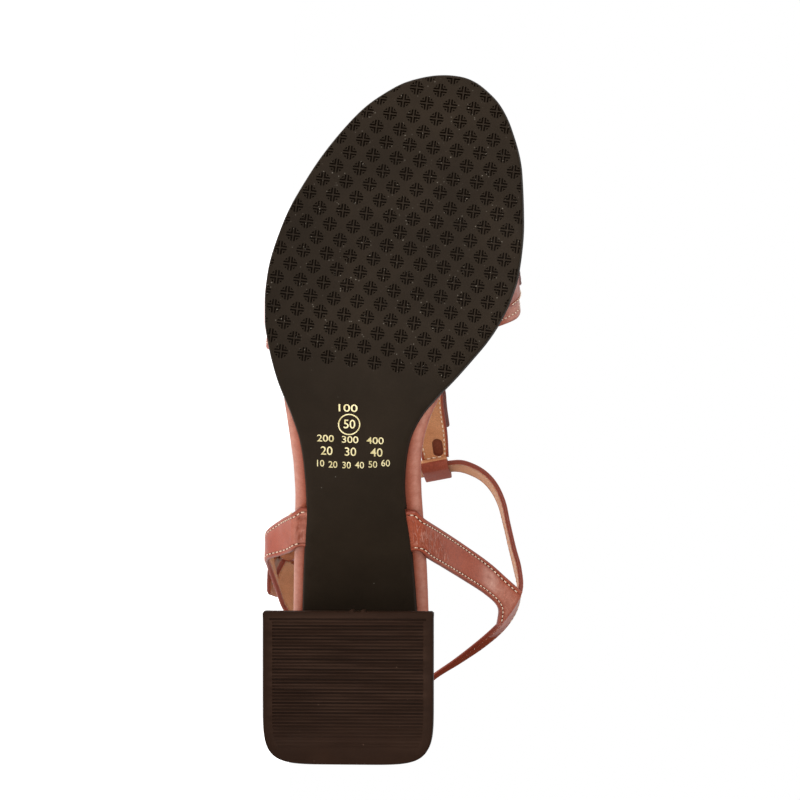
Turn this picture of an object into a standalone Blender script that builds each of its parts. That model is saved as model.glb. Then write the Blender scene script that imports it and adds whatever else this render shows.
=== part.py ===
"""Right-foot block-heel sandal with a T-bar, an ankle strap and an open waist.

Everything is worked out in millimetres in the shoe's own frame, as if it stood
on the floor: +X to the toe, +Y to the inner (medial) side, +Z up, with the
floor at Z = 0.  The finished assembly is then laid on its outer side, so that
the heel edge, the forefoot edge and the outer quarter strap carry it.
"""

import math

import bmesh
import bpy
import numpy as np
from mathutils import Matrix, Vector

MM = 0.001

# ---------------------------------------------------------------- named sizes
GAP = 0.3                 # clearance between pieces that meet
TOE_X = 110.0             # tip of the outsole
TOE_Y = 14.0
OUTSOLE_TAIL_X = -84.0    # the outsole runs this far, into the heel's seat
OUTSOLE_FORE_T = 3.2      # outsole thickness under the ball
OUTSOLE_WAIST_T = 2.7     # outsole thickness at the waist
EDGE_FLARE = 0.5          # its edge stands out this much more at the top
WAIST_CROWN = 0.7         # the waist is rounded across its underside
INSOLE_T = 5.0            # covered footbed with a rolled edge
INSOLE_ROLL = 2.2         # how far the roll reaches in from the edge
INSOLE_INSET = 2.6        # footbed edge inside the outsole edge at the forefoot
INSOLE_HEEL_X = -128.3
INSOLE_HEEL_Y = -17.5
INSOLE_DISH = 1.1         # the footbed is hollowed this much in the middle
TOPLIFT_T = 6.0
STRAP_T = 1.7             # folded leather and lining
STRAP_OFF = GAP + 0.12 + STRAP_T / 2   # strap mid-surface off the footbed it is wrapped round
LASTING = 7.5             # strap length turned in between footbed and outsole
LOOP_WALL = 1.4           # leather loops around strap and buckle bar
LOOP_PLAY = 0.35
WIRE_R = 1.0              # buckle wire
COLUMNS = 6               # faces across a sole or heel

# Underside of the outsole: height over the floor along the shoe.
PROFILE = {
    "x":      (-131.0, -110.0, -90.0, -71.0, -55.0, -40.0, -25.0, -9.0, 5.0, 22.0, 62.0, 80.0, 95.0, 111.0),
    "height": (  48.6,   45.8,  41.5,  35.0,  27.6,  19.6,  11.6,  4.6, 1.2,  0.0,  0.0,  1.4,  4.2,   8.6),
}

# Outsole outline: distance back from the tip, and the two edges.
OUTSOLE = {
    "back":    (0.0,  1.0,  2.5,  5.7, 10.2, 18.8, 34.2, 51.1, 67.9, 76.3, 83.1, 89.8, 96.5, 103.3, 108.3, 116.1, 124.2, 132.4, 140.7, 149.1, 157.5, 170.2, 183.0, 194.0),
    "lateral": (14.0, 6.0,  1.0, -5.0, -11.4, -19.7, -30.9, -39.9, -44.9, -45.7, -45.7, -44.8, -43.4, -41.5, -39.6, -36.6, -34.3, -33.4, -33.1, -33.4, -34.3, -35.5, -36.4, -37.0),
    "medial":  (14.0, 21.4, 24.7, 28.8, 32.9, 37.1, 40.7, 41.3, 39.6, 37.0, 33.8, 29.5, 23.9, 17.8, 12.9, 6.3, 2.4, 0.8, 0.2, 0.6, 1.6, 2.3, 2.9, 3.2),
}

# Footbed outline behind the ball, where it stands out past the outsole.
INSOLE = {
    "x":       (-127.3, -125.0, -120.5, -112.5, -100.0, -85.0, -72.0, -60.0, -40.0, -30.0, -22.0, -14.0, -6.0, 2.0, 9.0),
    "lateral": (-24.5, -30.0, -35.6, -39.8, -41.9, -41.3, -40.2, -39.5, -38.1, -37.5, -37.6, -38.3, -39.2, -40.2, -40.6),
    "medial":  (-10.5, -5.0, 0.4, 4.4, 6.8, 7.2, 7.1, 7.0, 6.3, 6.0, 6.1, 7.2, 9.6, 13.6, 18.0),
}

# Heel block: bottom and top plan, each a D with a straight breast.
HEEL = {
    "level":     ("bottom", "top"),
    "breast_x":  (-72.0, -76.0),
    "back_x":    (-122.4, -126.0),
    "centre_y":  (-17.7, -17.3),
    "half_wide": (28.2, 22.6),
    "squareness": (5.5, 2.7),
}
TOPLIFT = {"breast_x": -71.4, "back_x": -123.0, "centre_y": -17.7, "half_wide": 28.8, "squareness": 5.5}

# Ankle ring: a ribbon from the buckle tab on the outer side, round the heel,
# to the inner side, through the T-bar's loop, over the instep and back out
# through the buckle.  The upper edge leans by lean_x, lean_y for each unit up,
# and is drawn in toward the ankle by upper_in.
RING = {
    "place": ("tab", "tab", "outer", "outer", "outer", "outer", "heel", "heel", "heel", "heel", "inner", "inner", "inner", "inner", "inner", "inner", "front", "front", "front", "front", "front", "front", "front", "loop", "loop", "loop", "instep", "instep", "instep", "instep", "buckle", "buckle", "tail", "tail", "tip"),
    "x":     (-57.2, -60.4, -63.8, -68.5, -75.5, -84.0, -96.0, -107.0, -112.0, -109.0, -101.0, -95.0, -88.5, -82.0, -75.5, -68.0, -60.5, -53.2, -44.5, -37.2, -31.2, -26.95, -24.25, -23.9, -25.0, -26.1, -27.2, -30.0, -34.2, -38.6, -43.0, -53.2, -60.0, -65.8, -71.0),
    "y":     (-45.8, -47.4, -48.2, -46.6, -44.7, -41.7, -36.6, -26.5, -14.0, -3.0, 5.8, 14.6, 23.3, 30.5, 35.3, 37.8, 36.9, 35.0, 32.9, 31.05, 28.0, 23.7, 17.8, 13.0, 7.3, 1.6, -4.0, -17.0, -28.5, -36.6, -41.4, -48.1, -50.9, -51.5, -51.8),
    "z":     (75.7, 75.4, 75.4, 76.6, 79.0, 82.5, 87.0, 91.5, 93.6, 93.2, 91.0, 88.6, 85.0, 81.2, 78.0, 76.2, 77.0, 78.4, 80.2, 81.4, 82.2, 82.7, 83.0, 83.0, 83.0, 83.0, 83.0, 82.8, 81.6, 79.8, 78.1, 76.0, 77.0, 78.8, 80.4),
    "width": (9.6, 9.8, 10.4, 10.8, 10.8, 10.4, 10.4, 10.4, 10.4, 10.4, 10.4, 10.4, 10.4, 10.6, 10.8, 10.4, 9.6, 9.5, 9.5, 9.5, 9.5, 9.5, 9.5, 9.5, 9.5, 9.5, 9.5, 9.5, 9.5, 9.5, 9.5, 9.5, 9.5, 9.5, 8.6),
    "upper_in": (1.2, 3.2, 3.8, 3.0, 1.8, 0.7) + (0.0,) * 29,
    "lean_x": (-0.20, -0.14, -0.08, -0.05, 0.0, 0.05, 0.06, 0.03, 0.0, -0.03, -0.06, -0.10, -0.15, -0.14, -0.05, 0.0, -0.03, -0.06, -0.10, -0.18, -0.33, -0.42, -0.44, -0.36, -0.36, -0.36, -0.36, -0.33, -0.25, -0.17, -0.10, -0.03, -0.06, -0.14, -0.20),
    "lean_y": (0.11, 0.22, 0.36, 0.44, 0.45, 0.42, 0.26, 0.12, 0.05, 0.04, 0.06, 0.12, 0.20, 0.22, 0.14, -0.08, -0.21, -0.18, -0.17, -0.20, -0.17, -0.08, -0.01, 0.0, 0.0, 0.0, 0.0, 0.07, 0.15, 0.19, 0.20, 0.20, 0.24, 0.28, 0.30),
}
OUTER_JOIN = (2, 4)       # rows of RING between which the outer quarter strap joins below
INNER_JOIN = (13, 15)     # and the inner one
JOIN_ACROSS = 4

# Free run of each quarter strap between footbed edge and ankle ring: centre,
# and half the width as a vector to its front edge.
OUTER_QUARTER_X = (-37.0, -50.6)
INNER_QUARTER_X = (-38.0, -52.0)
QUARTER_RAKE = {-1: -2.2, 1: -3.9}    # the outer and inner strap have moved back this much by the top of the footbed's edge
OUTER_QUARTER = {
    "x": (-47.3, -51.2, -55.6), "y": (-43.8, -50.0, -50.8), "z": (35.5, 48.0, 61.0),
    "dx": (6.4, 5.2, 5.0), "dy": (0.0, 0.0, 0.0), "dz": (-1.6, 0.2, 0.4),
}
INNER_QUARTER = {
    "x": (-51.4, -56.9, -63.55), "y": (11.6, 18.6, 26.9), "z": (36.5, 50.0, 62.0),
    "dx": (6.6, 6.4, 5.8), "dy": (0.0, 0.0, 0.6), "dz": (-1.8, -1.0, -0.6),
}

# Vamp: a band over the ball from the outer to the inner edge of the footbed.
# mid_x and half_x give its length along the shoe at each height, and skew_y
# turns it a little to follow the sole.
VAMP_OUTER_X = (32.5, 16.5)
VAMP_INNER_X = (42.5, 24.0)
VAMP_ACROSS = 6
VAMP_SLOPE = 0.13         # the band falls toward the toe
VAMP = {
    "y":      (-45.7, -44.1, -37.5, -26.0, -12.0, 4.0, 19.0, 29.8, 36.2, 38.2, 37.8),
    "z":      ( 14.0,  24.0,  34.0,  42.2,  47.6, 50.1, 48.4, 41.7, 31.5, 21.5, 13.0),
    "mid_x":  ( 25.3,  27.2,  30.5,  33.5,  36.5, 39.5, 41.4, 41.7, 40.2, 37.8, 35.2),
    "half_x": (  7.8,   8.3,   9.6,  11.0,  11.9, 12.0, 11.2,  9.8,  8.0,  6.9,  7.8),
    "skew_y": (  0.5,   0.5,   0.2,   0.0,   0.0,  0.0,  0.0, -0.2, -0.6, -0.8, -0.4),
}
TBAR_JOIN = (3.6, 6.4)    # rows of VAMP between which the T-bar grows from its rear edge
TBAR = {
    "x": (12.0, 0.0, -12.0, -21.4), "y": (4.4, 4.8, 6.4, 7.35), "z": (57.6, 65.0, 72.8, 79.05),
    "half_y": (7.4, 6.2, 5.6, 4.8), "half_x": (0.0, 0.0, 0.3, 0.9),
}
LOOP_ROW = 24             # row of RING that the T-bar's loop goes around
TBAR_LOOP_W = 9.6

# Buckle on the outer side, along the strap from the front bar to the tab's bar.
BUCKLE_LONG = 12.4
BUCKLE_TALL = 13.6
PRONG_R = 0.75


# ---------------------------------------------------------------- small maths
def smooth(xs, ys, x):
    """Monotone cubic through a table: flat stretches stay flat, and nothing overshoots."""
    xs, ys = np.asarray(xs, float), np.asarray(ys, float)
    h, d = np.diff(xs), np.diff(ys) / np.diff(xs)
    m = np.zeros_like(ys)
    m[0], m[-1] = d[0], d[-1]
    for i in range(1, len(xs) - 1):
        if d[i - 1] * d[i] > 0:
            a, b = 2 * h[i] + h[i - 1], h[i] + 2 * h[i - 1]
            m[i] = (a + b) / (a / d[i - 1] + b / d[i])
    x = np.clip(np.asarray(x, float), xs[0], xs[-1])
    k = np.clip(np.searchsorted(xs, x, side="right") - 1, 0, len(xs) - 2)
    t = (x - xs[k]) / h[k]
    return (ys[k] * (2 * t**3 - 3 * t**2 + 1) + h[k] * m[k] * (t**3 - 2 * t**2 + t)
            + ys[k + 1] * (3 * t**2 - 2 * t**3) + h[k] * m[k + 1] * (t**3 - t**2))


def spline(points, where):
    """Catmull-Rom curve through rows of numbers, read at fractional row numbers."""
    p = np.asarray(points, float)
    p = np.vstack([2 * p[0] - p[1], p, 2 * p[-1] - p[-2]])
    where = np.clip(np.asarray(where, float), 0, len(p) - 3)
    k = np.minimum(where.astype(int), len(p) - 4)
    t = (where - k)[:, None]
    a, b, c, d = p[k], p[k + 1], p[k + 2], p[k + 3]
    return 0.5 * (2 * b + (c - a) * t + (2 * a - 5 * b + 4 * c - d) * t**2 + (3 * b - a - 3 * c + d) * t**3)


def unit(v):
    v = np.asarray(v, float)
    return v / np.linalg.norm(v, axis=-1, keepdims=True)


# ---------------------------------------------------------------- sole shapes
def under(x):
    return smooth(PROFILE["x"], PROFILE["height"], x)


def outsole_thick(x):
    return OUTSOLE_WAIST_T + (OUTSOLE_FORE_T - OUTSOLE_WAIST_T) * np.clip((np.asarray(x, float) + 15) / 30, 0, 1)


def footbed_base(x):
    """Underside of the footbed."""
    return under(x) + outsole_thick(x) + GAP


def outsole_edges(x):
    """Lateral and medial edge of the outsole at x; the tip is round, so the table is read by the root of the distance."""
    t = np.sqrt(np.clip(TOE_X - np.asarray(x, float), 0, None))
    ts = np.sqrt(np.asarray(OUTSOLE["back"]))
    return smooth(ts, OUTSOLE["lateral"], t), smooth(ts, OUTSOLE["medial"], t)


def stations(nose, tail, count, tail_round):
    """Places along the shoe, close together where an end is round."""
    u = np.linspace(0, 1, count + 2)[1:] if not tail_round else np.linspace(0, 1, count + 2)[1:-1]
    s = (1 - np.cos(u * math.pi)) / 2 if tail_round else 1 - np.cos(u * math.pi / 2)
    return nose + (tail - nose) * s


def ring_of(lateral, medial, nose=None, tail=None):
    """One closed plan.  nose and tail are the single tip of a round end; a blunt end is filled with points from edge to edge."""
    lateral, medial = np.asarray(lateral, float), np.asarray(medial, float)
    part = (np.arange(1, COLUMNS) / COLUMNS)[:, None]
    nose = medial[0] + (lateral[0] - medial[0]) * part if nose is None else np.reshape(nose, (-1, 2))
    tail = lateral[-1] + (medial[-1] - lateral[-1]) * part if tail is None else np.reshape(tail, (-1, 2))
    return {"nose": nose, "lat": lateral, "tail": tail, "med": medial}


def ring_points(ring):
    """The plan in order: the nose, down the lateral edge, the tail, back up the medial edge."""
    return np.vstack([ring["nose"], ring["lat"], ring["tail"], ring["med"][::-1]])


def ring_split(ring, items):
    """Shares a list that follows ring_points out over the plan's four runs, medial edge from the nose down again."""
    i = len(ring["nose"])
    j = i + len(ring["lat"])
    k = j + len(ring["tail"])
    return items[:i], items[i:j], items[j:k], items[k:][::-1]


def ring_inset(ring, inset):
    """The same plan moved in by inset, square to its edge."""
    p = ring_points(ring)
    t = unit(np.roll(p, -1, 0) - np.roll(p, 1, 0))
    inward = np.stack([-t[:, 1], t[:, 0]], 1)
    if np.sum(p[:, 0] * np.roll(p[:, 1], -1) - p[:, 1] * np.roll(p[:, 0], -1)) < 0:
        inward = -inward
    nose, lat, tail, med = ring_split(ring, p + inward * inset)
    return ring_of(lat, med, nose, tail)


def outsole_ring(count=46):
    x = stations(TOE_X, OUTSOLE_TAIL_X, count, False)
    lat, med = outsole_edges(x)
    return ring_of(np.stack([x, lat], 1), np.stack([x, med], 1), np.array([TOE_X, TOE_Y]))


def footbed_ring(count=52):
    """Inside the outsole's edge at the forefoot, outside it from the waist back."""
    fore = ring_inset(outsole_ring(90), INSOLE_INSET)
    nose = fore["nose"][0]
    x = stations(nose[0], INSOLE_HEEL_X, count, True)
    edges = []
    for side in ("lateral", "medial"):
        f = fore["lat" if side == "lateral" else "med"]
        order = np.argsort(f[:, 0])
        ahead = np.interp(x, f[order, 0], f[order, 1])
        heel_x = np.concatenate([[INSOLE_HEEL_X], INSOLE["x"]])
        heel_y = np.concatenate([[INSOLE_HEEL_Y], INSOLE[side]])
        root = smooth(np.sqrt(heel_x - INSOLE_HEEL_X), heel_y, np.sqrt(np.clip(x - INSOLE_HEEL_X, 0, None)))
        blend = np.clip((x - 4.0) / 14.0, 0, 1)
        blend = blend * blend * (3 - 2 * blend)
        edges.append(np.stack([x, root * (1 - blend) + ahead * blend], 1))
    return ring_of(edges[0], edges[1], nose, np.array([INSOLE_HEEL_X, INSOLE_HEEL_Y]))


FOOTBED = footbed_ring()


def footbed_edge(x, side):
    rows = FOOTBED["lat" if side < 0 else "med"]
    return float(np.interp(x, rows[::-1, 0], rows[::-1, 1]))


def d_plan(spec, count=15):
    """A D: straight breast, straight sides, and a squared round back."""
    half = (spec["breast_x"] - spec["back_x"]) / 2
    x_mid = spec["breast_x"] - half
    side = np.linspace(spec["breast_x"], x_mid, 4)[:-1]
    turn = np.linspace(0, math.pi / 2, count)[:-1]
    n = spec["squareness"]
    x = np.concatenate([side, x_mid - half * np.sin(turn) ** (2 / n)])
    w = spec["half_wide"] * np.concatenate([np.ones(3), np.cos(turn) ** (2 / n)])
    c = spec["centre_y"]
    return ring_of(np.stack([x, c - w], 1), np.stack([x, c + w], 1), None, np.array([spec["back_x"], c]))


# ---------------------------------------------------------------- mesh makers
MATERIALS = {
    "outsole_rubber": ((0.020, 0.016, 0.013), 0.55, 0.0),
    "heel_cover": ((0.040, 0.028, 0.026), 0.45, 0.0),
    "toplift_rubber": ((0.024, 0.017, 0.014), 0.6, 0.0),
    "footbed_leather": ((0.42, 0.17, 0.12), 0.42, 0.0),
    "strap_leather": ((0.40, 0.15, 0.10), 0.40, 0.0),
    "buckle_metal": ((0.55, 0.42, 0.25), 0.3, 1.0),
}


def material(name):
    made = bpy.data.materials.get(name)
    if made is None:
        colour, rough, metal = MATERIALS[name]
        made = bpy.data.materials.new(name)
        made.use_nodes = True
        shader = made.node_tree.nodes["Principled BSDF"]
        shader.inputs["Base Color"].default_value = (*colour, 1.0)
        shader.inputs["Roughness"].default_value = rough
        shader.inputs["Metallic"].default_value = metal
    return made


def make_object(name, bm, slot, helper=False):
    for v in bm.verts:
        v.co *= MM
    bmesh.ops.recalc_face_normals(bm, faces=bm.faces)
    mesh = bpy.data.meshes.new(name)
    bm.to_mesh(mesh)
    bm.free()
    mesh.shade_smooth()
    mesh.set_sharp_from_angle(angle=math.radians(40))
    obj = bpy.data.objects.new(name, mesh)
    bpy.context.scene.collection.objects.link(obj)
    if helper:
        obj.hide_render = True
        obj.display_type = "WIRE"
    else:
        mesh.materials.append(material(slot))
    return obj


def loft_rings(rings, heights, cap_heights):
    """Closed solid through a stack of plans.  heights and cap_heights give z from (x, y), one for each ring and for the two caps."""
    bm = bmesh.new()
    loops = []
    for ring, height in zip(rings, heights):
        loops.append([bm.verts.new((x, y, float(height(x, y)))) for x, y in ring_points(ring)])
    for low, high in zip(loops, loops[1:]):
        for i in range(len(low)):
            j = (i + 1) % len(low)
            bm.faces.new((low[i], low[j], high[j], high[i]))
    for ring, loop, height in ((rings[0], loops[0], cap_heights[0]), (rings[-1], loops[-1], cap_heights[1])):
        nose, lat, tail, med = ring_split(ring, loop)
        rows = []
        for a, b, p, q in zip(lat, med, ring["lat"], ring["med"]):
            rows.append([a] + [None] * (COLUMNS - 1) + [b])
            for c in range(1, COLUMNS):
                x, y = p + (q - p) * (c / COLUMNS)
                rows[-1][c] = (x, y, float(height(x, y, c / COLUMNS)))
        if len(nose) > 1:
            rows[0][1:-1] = nose[::-1]
        if len(tail) > 1:
            rows[-1][1:-1] = tail
        rows = [[bm.verts.new(v) if isinstance(v, tuple) else v for v in row] for row in rows]
        for r, s in zip(rows, rows[1:]):
            for c in range(COLUMNS):
                bm.faces.new((r[c], r[c + 1], s[c + 1], s[c]))
        for tip, row in ((nose, rows[0]), (tail, rows[-1])):
            if len(tip) == 1:
                for c in range(COLUMNS):
                    bm.faces.new((tip[0], row[c], row[c + 1]))
    return bm


def sole_solid(ring, layers, base, dish_low, dish_high):
    """A slab that follows the bottom profile.  layers: (inset, height over the base) from the lower face round the edge to the upper face."""
    rings = [ring_inset(ring, inset) if inset else ring for inset, _ in layers]
    heights = [(lambda x, y, h=h: base(x) + (h(x) if callable(h) else h)) for _, h in layers]
    first, last = layers[0][1], layers[-1][1]
    low = lambda x, y, s: base(x) + (first(x) if callable(first) else first) + dish_low(x, s)
    high = lambda x, y, s: base(x) + (last(x) if callable(last) else last) + dish_high(x, s)
    return loft_rings(rings, heights, (low, high))


def bulge(s):
    return 4 * s * (1 - s)


# ---------------------------------------------------------------- straps
def evenly(line, first, last, spacing):
    """Fractional row numbers about spacing apart along a line of rows."""
    fine = np.linspace(first, last, 400)
    run = np.concatenate([[0], np.cumsum(np.linalg.norm(np.diff(spline(line, fine), axis=0), axis=1))])
    return list(np.interp(np.linspace(0, run[-1], max(2, int(round(run[-1] / spacing)) + 1)), run, fine))


def ribbon(lines, where):
    """Mid-surface of a strap from lines of rows that run along it, front edge first; returns a grid of points."""
    return np.stack([spline(line, where) for line in lines], 1)


def between(front, rear, across):
    """Lines across a strap from its two edges."""
    front, rear = np.asarray(front, float), np.asarray(rear, float)
    return [front + (rear - front) * k / across for k in range(across + 1)]


def wrap_rows(x, side, rake=0.0):
    """Strap mid-line from between the soles at x, out under the footbed's edge and round it: rows of x, y, z."""
    r, rows = INSOLE_T / 2, []
    for tuck, turn in ((LASTING, -90), (LASTING / 2, -90), (0.0, -90), (0.0, -52), (0.0, -18)):
        a = math.radians(turn)
        at = x + rake * (turn + 90) / 72
        out = (INSOLE_ROLL + STRAP_OFF) * math.cos(a) - INSOLE_ROLL - tuck
        rows.append((at, footbed_edge(at, side) + side * out, float(footbed_base(at)) + r + (r + STRAP_OFF) * math.sin(a)))
    return rows


def add_grid(bm, grid, first=None, last=None):
    """Faces of a grid; its first or last row can be points that are there already."""
    rows = []
    for i, line in enumerate(grid):
        if first is not None and i == 0:
            rows.append(first)
        elif last is not None and i == len(grid) - 1:
            rows.append(last)
        else:
            rows.append([bm.verts.new(p) for p in line])
    for r, s in zip(rows, rows[1:]):
        for c in range(len(r) - 1):
            bm.faces.new((r[c], r[c + 1], s[c + 1], s[c]))
    return rows


def spread(a, b, n):
    return list(np.linspace(a, b, n + 1))


def ring_edges():
    """Lower and upper edge lines of the ankle ring."""
    centre = np.stack([RING["x"], RING["y"], RING["z"]], 1)
    up = unit(np.stack([RING["lean_x"], RING["lean_y"], np.ones(len(centre))], 1))
    half = np.asarray(RING["width"])[:, None] / 2 * up
    lean_in = np.asarray(RING["upper_in"])[:, None] * np.array((0.0, 1.0, 0.15))
    return centre - half, centre + half + lean_in


def strap_from_sole(x_ends, side, across, front, rear, rake=0.0):
    """Lines of a strap that starts between the soles at x_ends (front, rear) and goes on through the given edge rows."""
    wraps = [wrap_rows(x, side, rake) for x in np.linspace(*x_ends, across + 1)]
    return [np.vstack([w, line]) for w, line in zip(wraps, between(front, rear, across))]


def quarter_surface():
    """Ankle ring and the two quarter straps as one sheet, joined edge to edge."""
    bm = bmesh.new()
    low, high = ring_edges()
    line = (low + high) / 2
    where = evenly(line, 0, OUTER_JOIN[0], 3.0)[:-1] + spread(*OUTER_JOIN, JOIN_ACROSS)
    where += evenly(line, OUTER_JOIN[1], INNER_JOIN[0], 4.5)[1:] + spread(*INNER_JOIN, JOIN_ACROSS)[1:]
    where += evenly(line, INNER_JOIN[1], len(line) - 1, 3.6)[1:]
    rows = add_grid(bm, ribbon(between(low, high, 3), where))
    at = {round(w, 6): r[0] for w, r in zip(where, rows)}
    for join, table, x_ends, side in ((OUTER_JOIN, OUTER_QUARTER, OUTER_QUARTER_X, -1), (INNER_JOIN, INNER_QUARTER, INNER_QUARTER_X, 1)):
        shared = [at[round(w, 6)] for w in spread(*join, JOIN_ACROSS)]
        if side > 0:
            shared = shared[::-1]
        centre = np.stack([table["x"], table["y"], table["z"]], 1)
        half = np.stack([table["dx"], table["dy"], table["dz"]], 1)
        lines = strap_from_sole(x_ends, side, JOIN_ACROSS, centre + half, centre - half, QUARTER_RAKE[side])
        for k, end in enumerate(shared):
            if side > 0:
                # keeps its width until just under the ring, then turns back into it in a round corner
                straight = spline(low, np.array([join[1] - 1.4 * k / JOIN_ACROSS]))[0]
                lines[k] = np.vstack([lines[k], lines[k][-1] * 0.38 + straight * 0.62])
            lines[k] = np.vstack([lines[k], end.co])
        where = evenly(lines[0], 0, 4, 1.7) + evenly(lines[0], 4, len(lines[0]) - 1, 4.0)[1:]
        add_grid(bm, ribbon(lines, where), last=shared)
    return bm


def vamp_surface():
    """Vamp band and T-bar as one sheet."""
    bm = bmesh.new()
    mid, half = np.asarray(VAMP["mid_x"]), np.asarray(VAMP["half_x"])
    centre = np.stack([mid, VAMP["y"], VAMP["z"]], 1)
    reach = np.stack([half, VAMP["skew_y"], -VAMP_SLOPE * half], 1)
    front, rear = centre + reach, centre - reach
    lines = strap_from_sole(VAMP_OUTER_X, -1, VAMP_ACROSS, front, rear)
    lead = len(lines[0]) - len(front)
    ends = [wrap_rows(x, 1)[::-1] for x in np.linspace(*VAMP_INNER_X, VAMP_ACROSS + 1)]
    lines = [np.vstack([line, end]) for line, end in zip(lines, ends)]
    join, last = tuple(lead + t for t in TBAR_JOIN), len(lines[0]) - 1
    middle = lines[VAMP_ACROSS // 2]
    where = evenly(middle, 0, lead - 1, 1.8) + evenly(middle, lead - 1, join[0], 5.0)[1:-1] + spread(*join, JOIN_ACROSS)
    where += evenly(middle, join[1], last - lead + 1, 5.0)[1:-1] + evenly(middle, last - lead + 1, last, 1.8)
    rows = add_grid(bm, ribbon(lines, where))
    at = {round(w, 6): r[-1] for w, r in zip(where, rows)}
    shared = [at[round(w, 6)] for w in spread(*join, JOIN_ACROSS)]
    edge = np.stack([TBAR["x"], TBAR["y"], TBAR["z"]], 1)
    wide = np.stack([TBAR["half_x"], TBAR["half_y"], np.zeros(len(edge))], 1)
    lines = between(np.vstack([shared[0].co, edge - wide]), np.vstack([shared[-1].co, edge + wide]), JOIN_ACROSS)
    add_grid(bm, ribbon(lines, evenly(lines[2], 0, len(TBAR["x"]), 4.5)), first=shared)
    return bm


def solidify(obj, thickness):
    made = obj.modifiers.new("wall", "SOLIDIFY")
    made.thickness = thickness * MM
    made.offset = 0.0
    made.use_even_offset = True
    made.thickness_clamp = 0.0
    return made


def boolean(obj, other, operation):
    made = obj.modifiers.new(operation.lower(), "BOOLEAN")
    made.operation = operation
    made.solver = "EXACT"
    made.object = other
    return made


def frame_at(centre, along, up):
    """Axes of a local frame: along, out and up, all square to each other."""
    along = unit(along)
    out = unit(np.cross(along, up))
    return np.asarray(centre, float), along, out, np.cross(out, along)


def tube_band(centre, axis, wide_dir, thick_dir, wide, thick, wall, length, corner=6):
    """A closed band: a flattened tube along axis, around something wide by thick."""
    bm = bmesh.new()
    outlines = []
    for grow in (0.0, wall):
        r = thick / 2 + grow
        flat = wide / 2 - thick / 2
        pts = []
        for end, start in ((1, -90), (-1, 90)):
            for k in range(corner + 1):
                a = math.radians(start + 180 * k / corner)
                pts.append((end * flat + r * math.cos(a), r * math.sin(a)))
        outlines.append(pts)
    walls = []
    for pts in outlines:
        walls.append([[bm.verts.new(centre + axis * s * length / 2 + wide_dir * u + thick_dir * v) for u, v in pts] for s in (-1, 1)])
    n = len(outlines[0])
    for i in range(n):
        j = (i + 1) % n
        (ia, ib), (oa, ob) = walls
        bm.faces.new((ia[i], ia[j], ib[j], ib[i]))
        bm.faces.new((oa[i], ob[i], ob[j], oa[j]))
        bm.faces.new((ia[i], oa[i], oa[j], ia[j]))
        bm.faces.new((ib[i], ib[j], ob[j], ob[i]))
    return bm


def rod(path, radius, sides=10, closed=False):
    """A round bar along a line of points."""
    bm = bmesh.new()
    path = np.asarray(path, float)
    n = len(path)
    loops = []
    side = None
    for i in range(n):
        ahead = path[(i + 1) % n] if closed or i < n - 1 else path[i]
        behind = path[i - 1] if closed or i else path[i]
        t = unit(ahead - behind)
        if side is None:
            side = unit(np.cross(t, (0.3, 0.2, 1.0)))
        side = unit(side - t * np.dot(side, t))
        other = np.cross(t, side)
        loops.append([bm.verts.new(path[i] + radius * (math.cos(a) * side + math.sin(a) * other))
                      for a in (2 * math.pi * k / sides for k in range(sides))])
    for i in range(n if closed else n - 1):
        a, b = loops[i], loops[(i + 1) % n]
        for k in range(sides):
            bm.faces.new((a[k], a[(k + 1) % sides], b[(k + 1) % sides], b[k]))
    if not closed:
        bm.faces.new(loops[0])
        bm.faces.new(loops[-1][::-1])
    return bm


def rounded_frame(centre, along, up, long, tall, corner, steps=5):
    pts = []
    for sx, sy, start in ((1, 1, 0), (-1, 1, 90), (-1, -1, 180), (1, -1, 270)):
        for k in range(steps + 1):
            a = math.radians(start + 90 * k / steps)
            u = sx * (long / 2 - corner) + corner * math.cos(a)
            v = sy * (tall / 2 - corner) + corner * math.sin(a)
            pts.append(centre + along * u + up * v)
    return pts


# ---------------------------------------------------------------- the pieces
def build_outsole():
    crown = lambda x, s: -WAIST_CROWN * bulge(s) * float(np.clip((-2 - x) / 22, 0, 1)) * float(np.clip((x + 84) / 16, 0, 1))
    bm = sole_solid(outsole_ring(), ((0.5, 0.0), (0.0, 0.5), (-EDGE_FLARE, outsole_thick)), under, crown, lambda x, s: 0.0)
    return make_object("outsole", bm, "outsole_rubber")


def build_footbed():
    dish = lambda x, s: -INSOLE_DISH * bulge(s)
    t, roll = INSOLE_T, INSOLE_ROLL
    layers = ((roll, 0.0), (roll * 0.30, t * 0.14), (0.0, t * 0.5), (roll * 0.30, t * 0.86), (roll, t))
    bm = sole_solid(FOOTBED, layers, footbed_base, lambda x, s: 0.0, dish)
    return make_object("footbed", bm, "footbed_leather")


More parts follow.
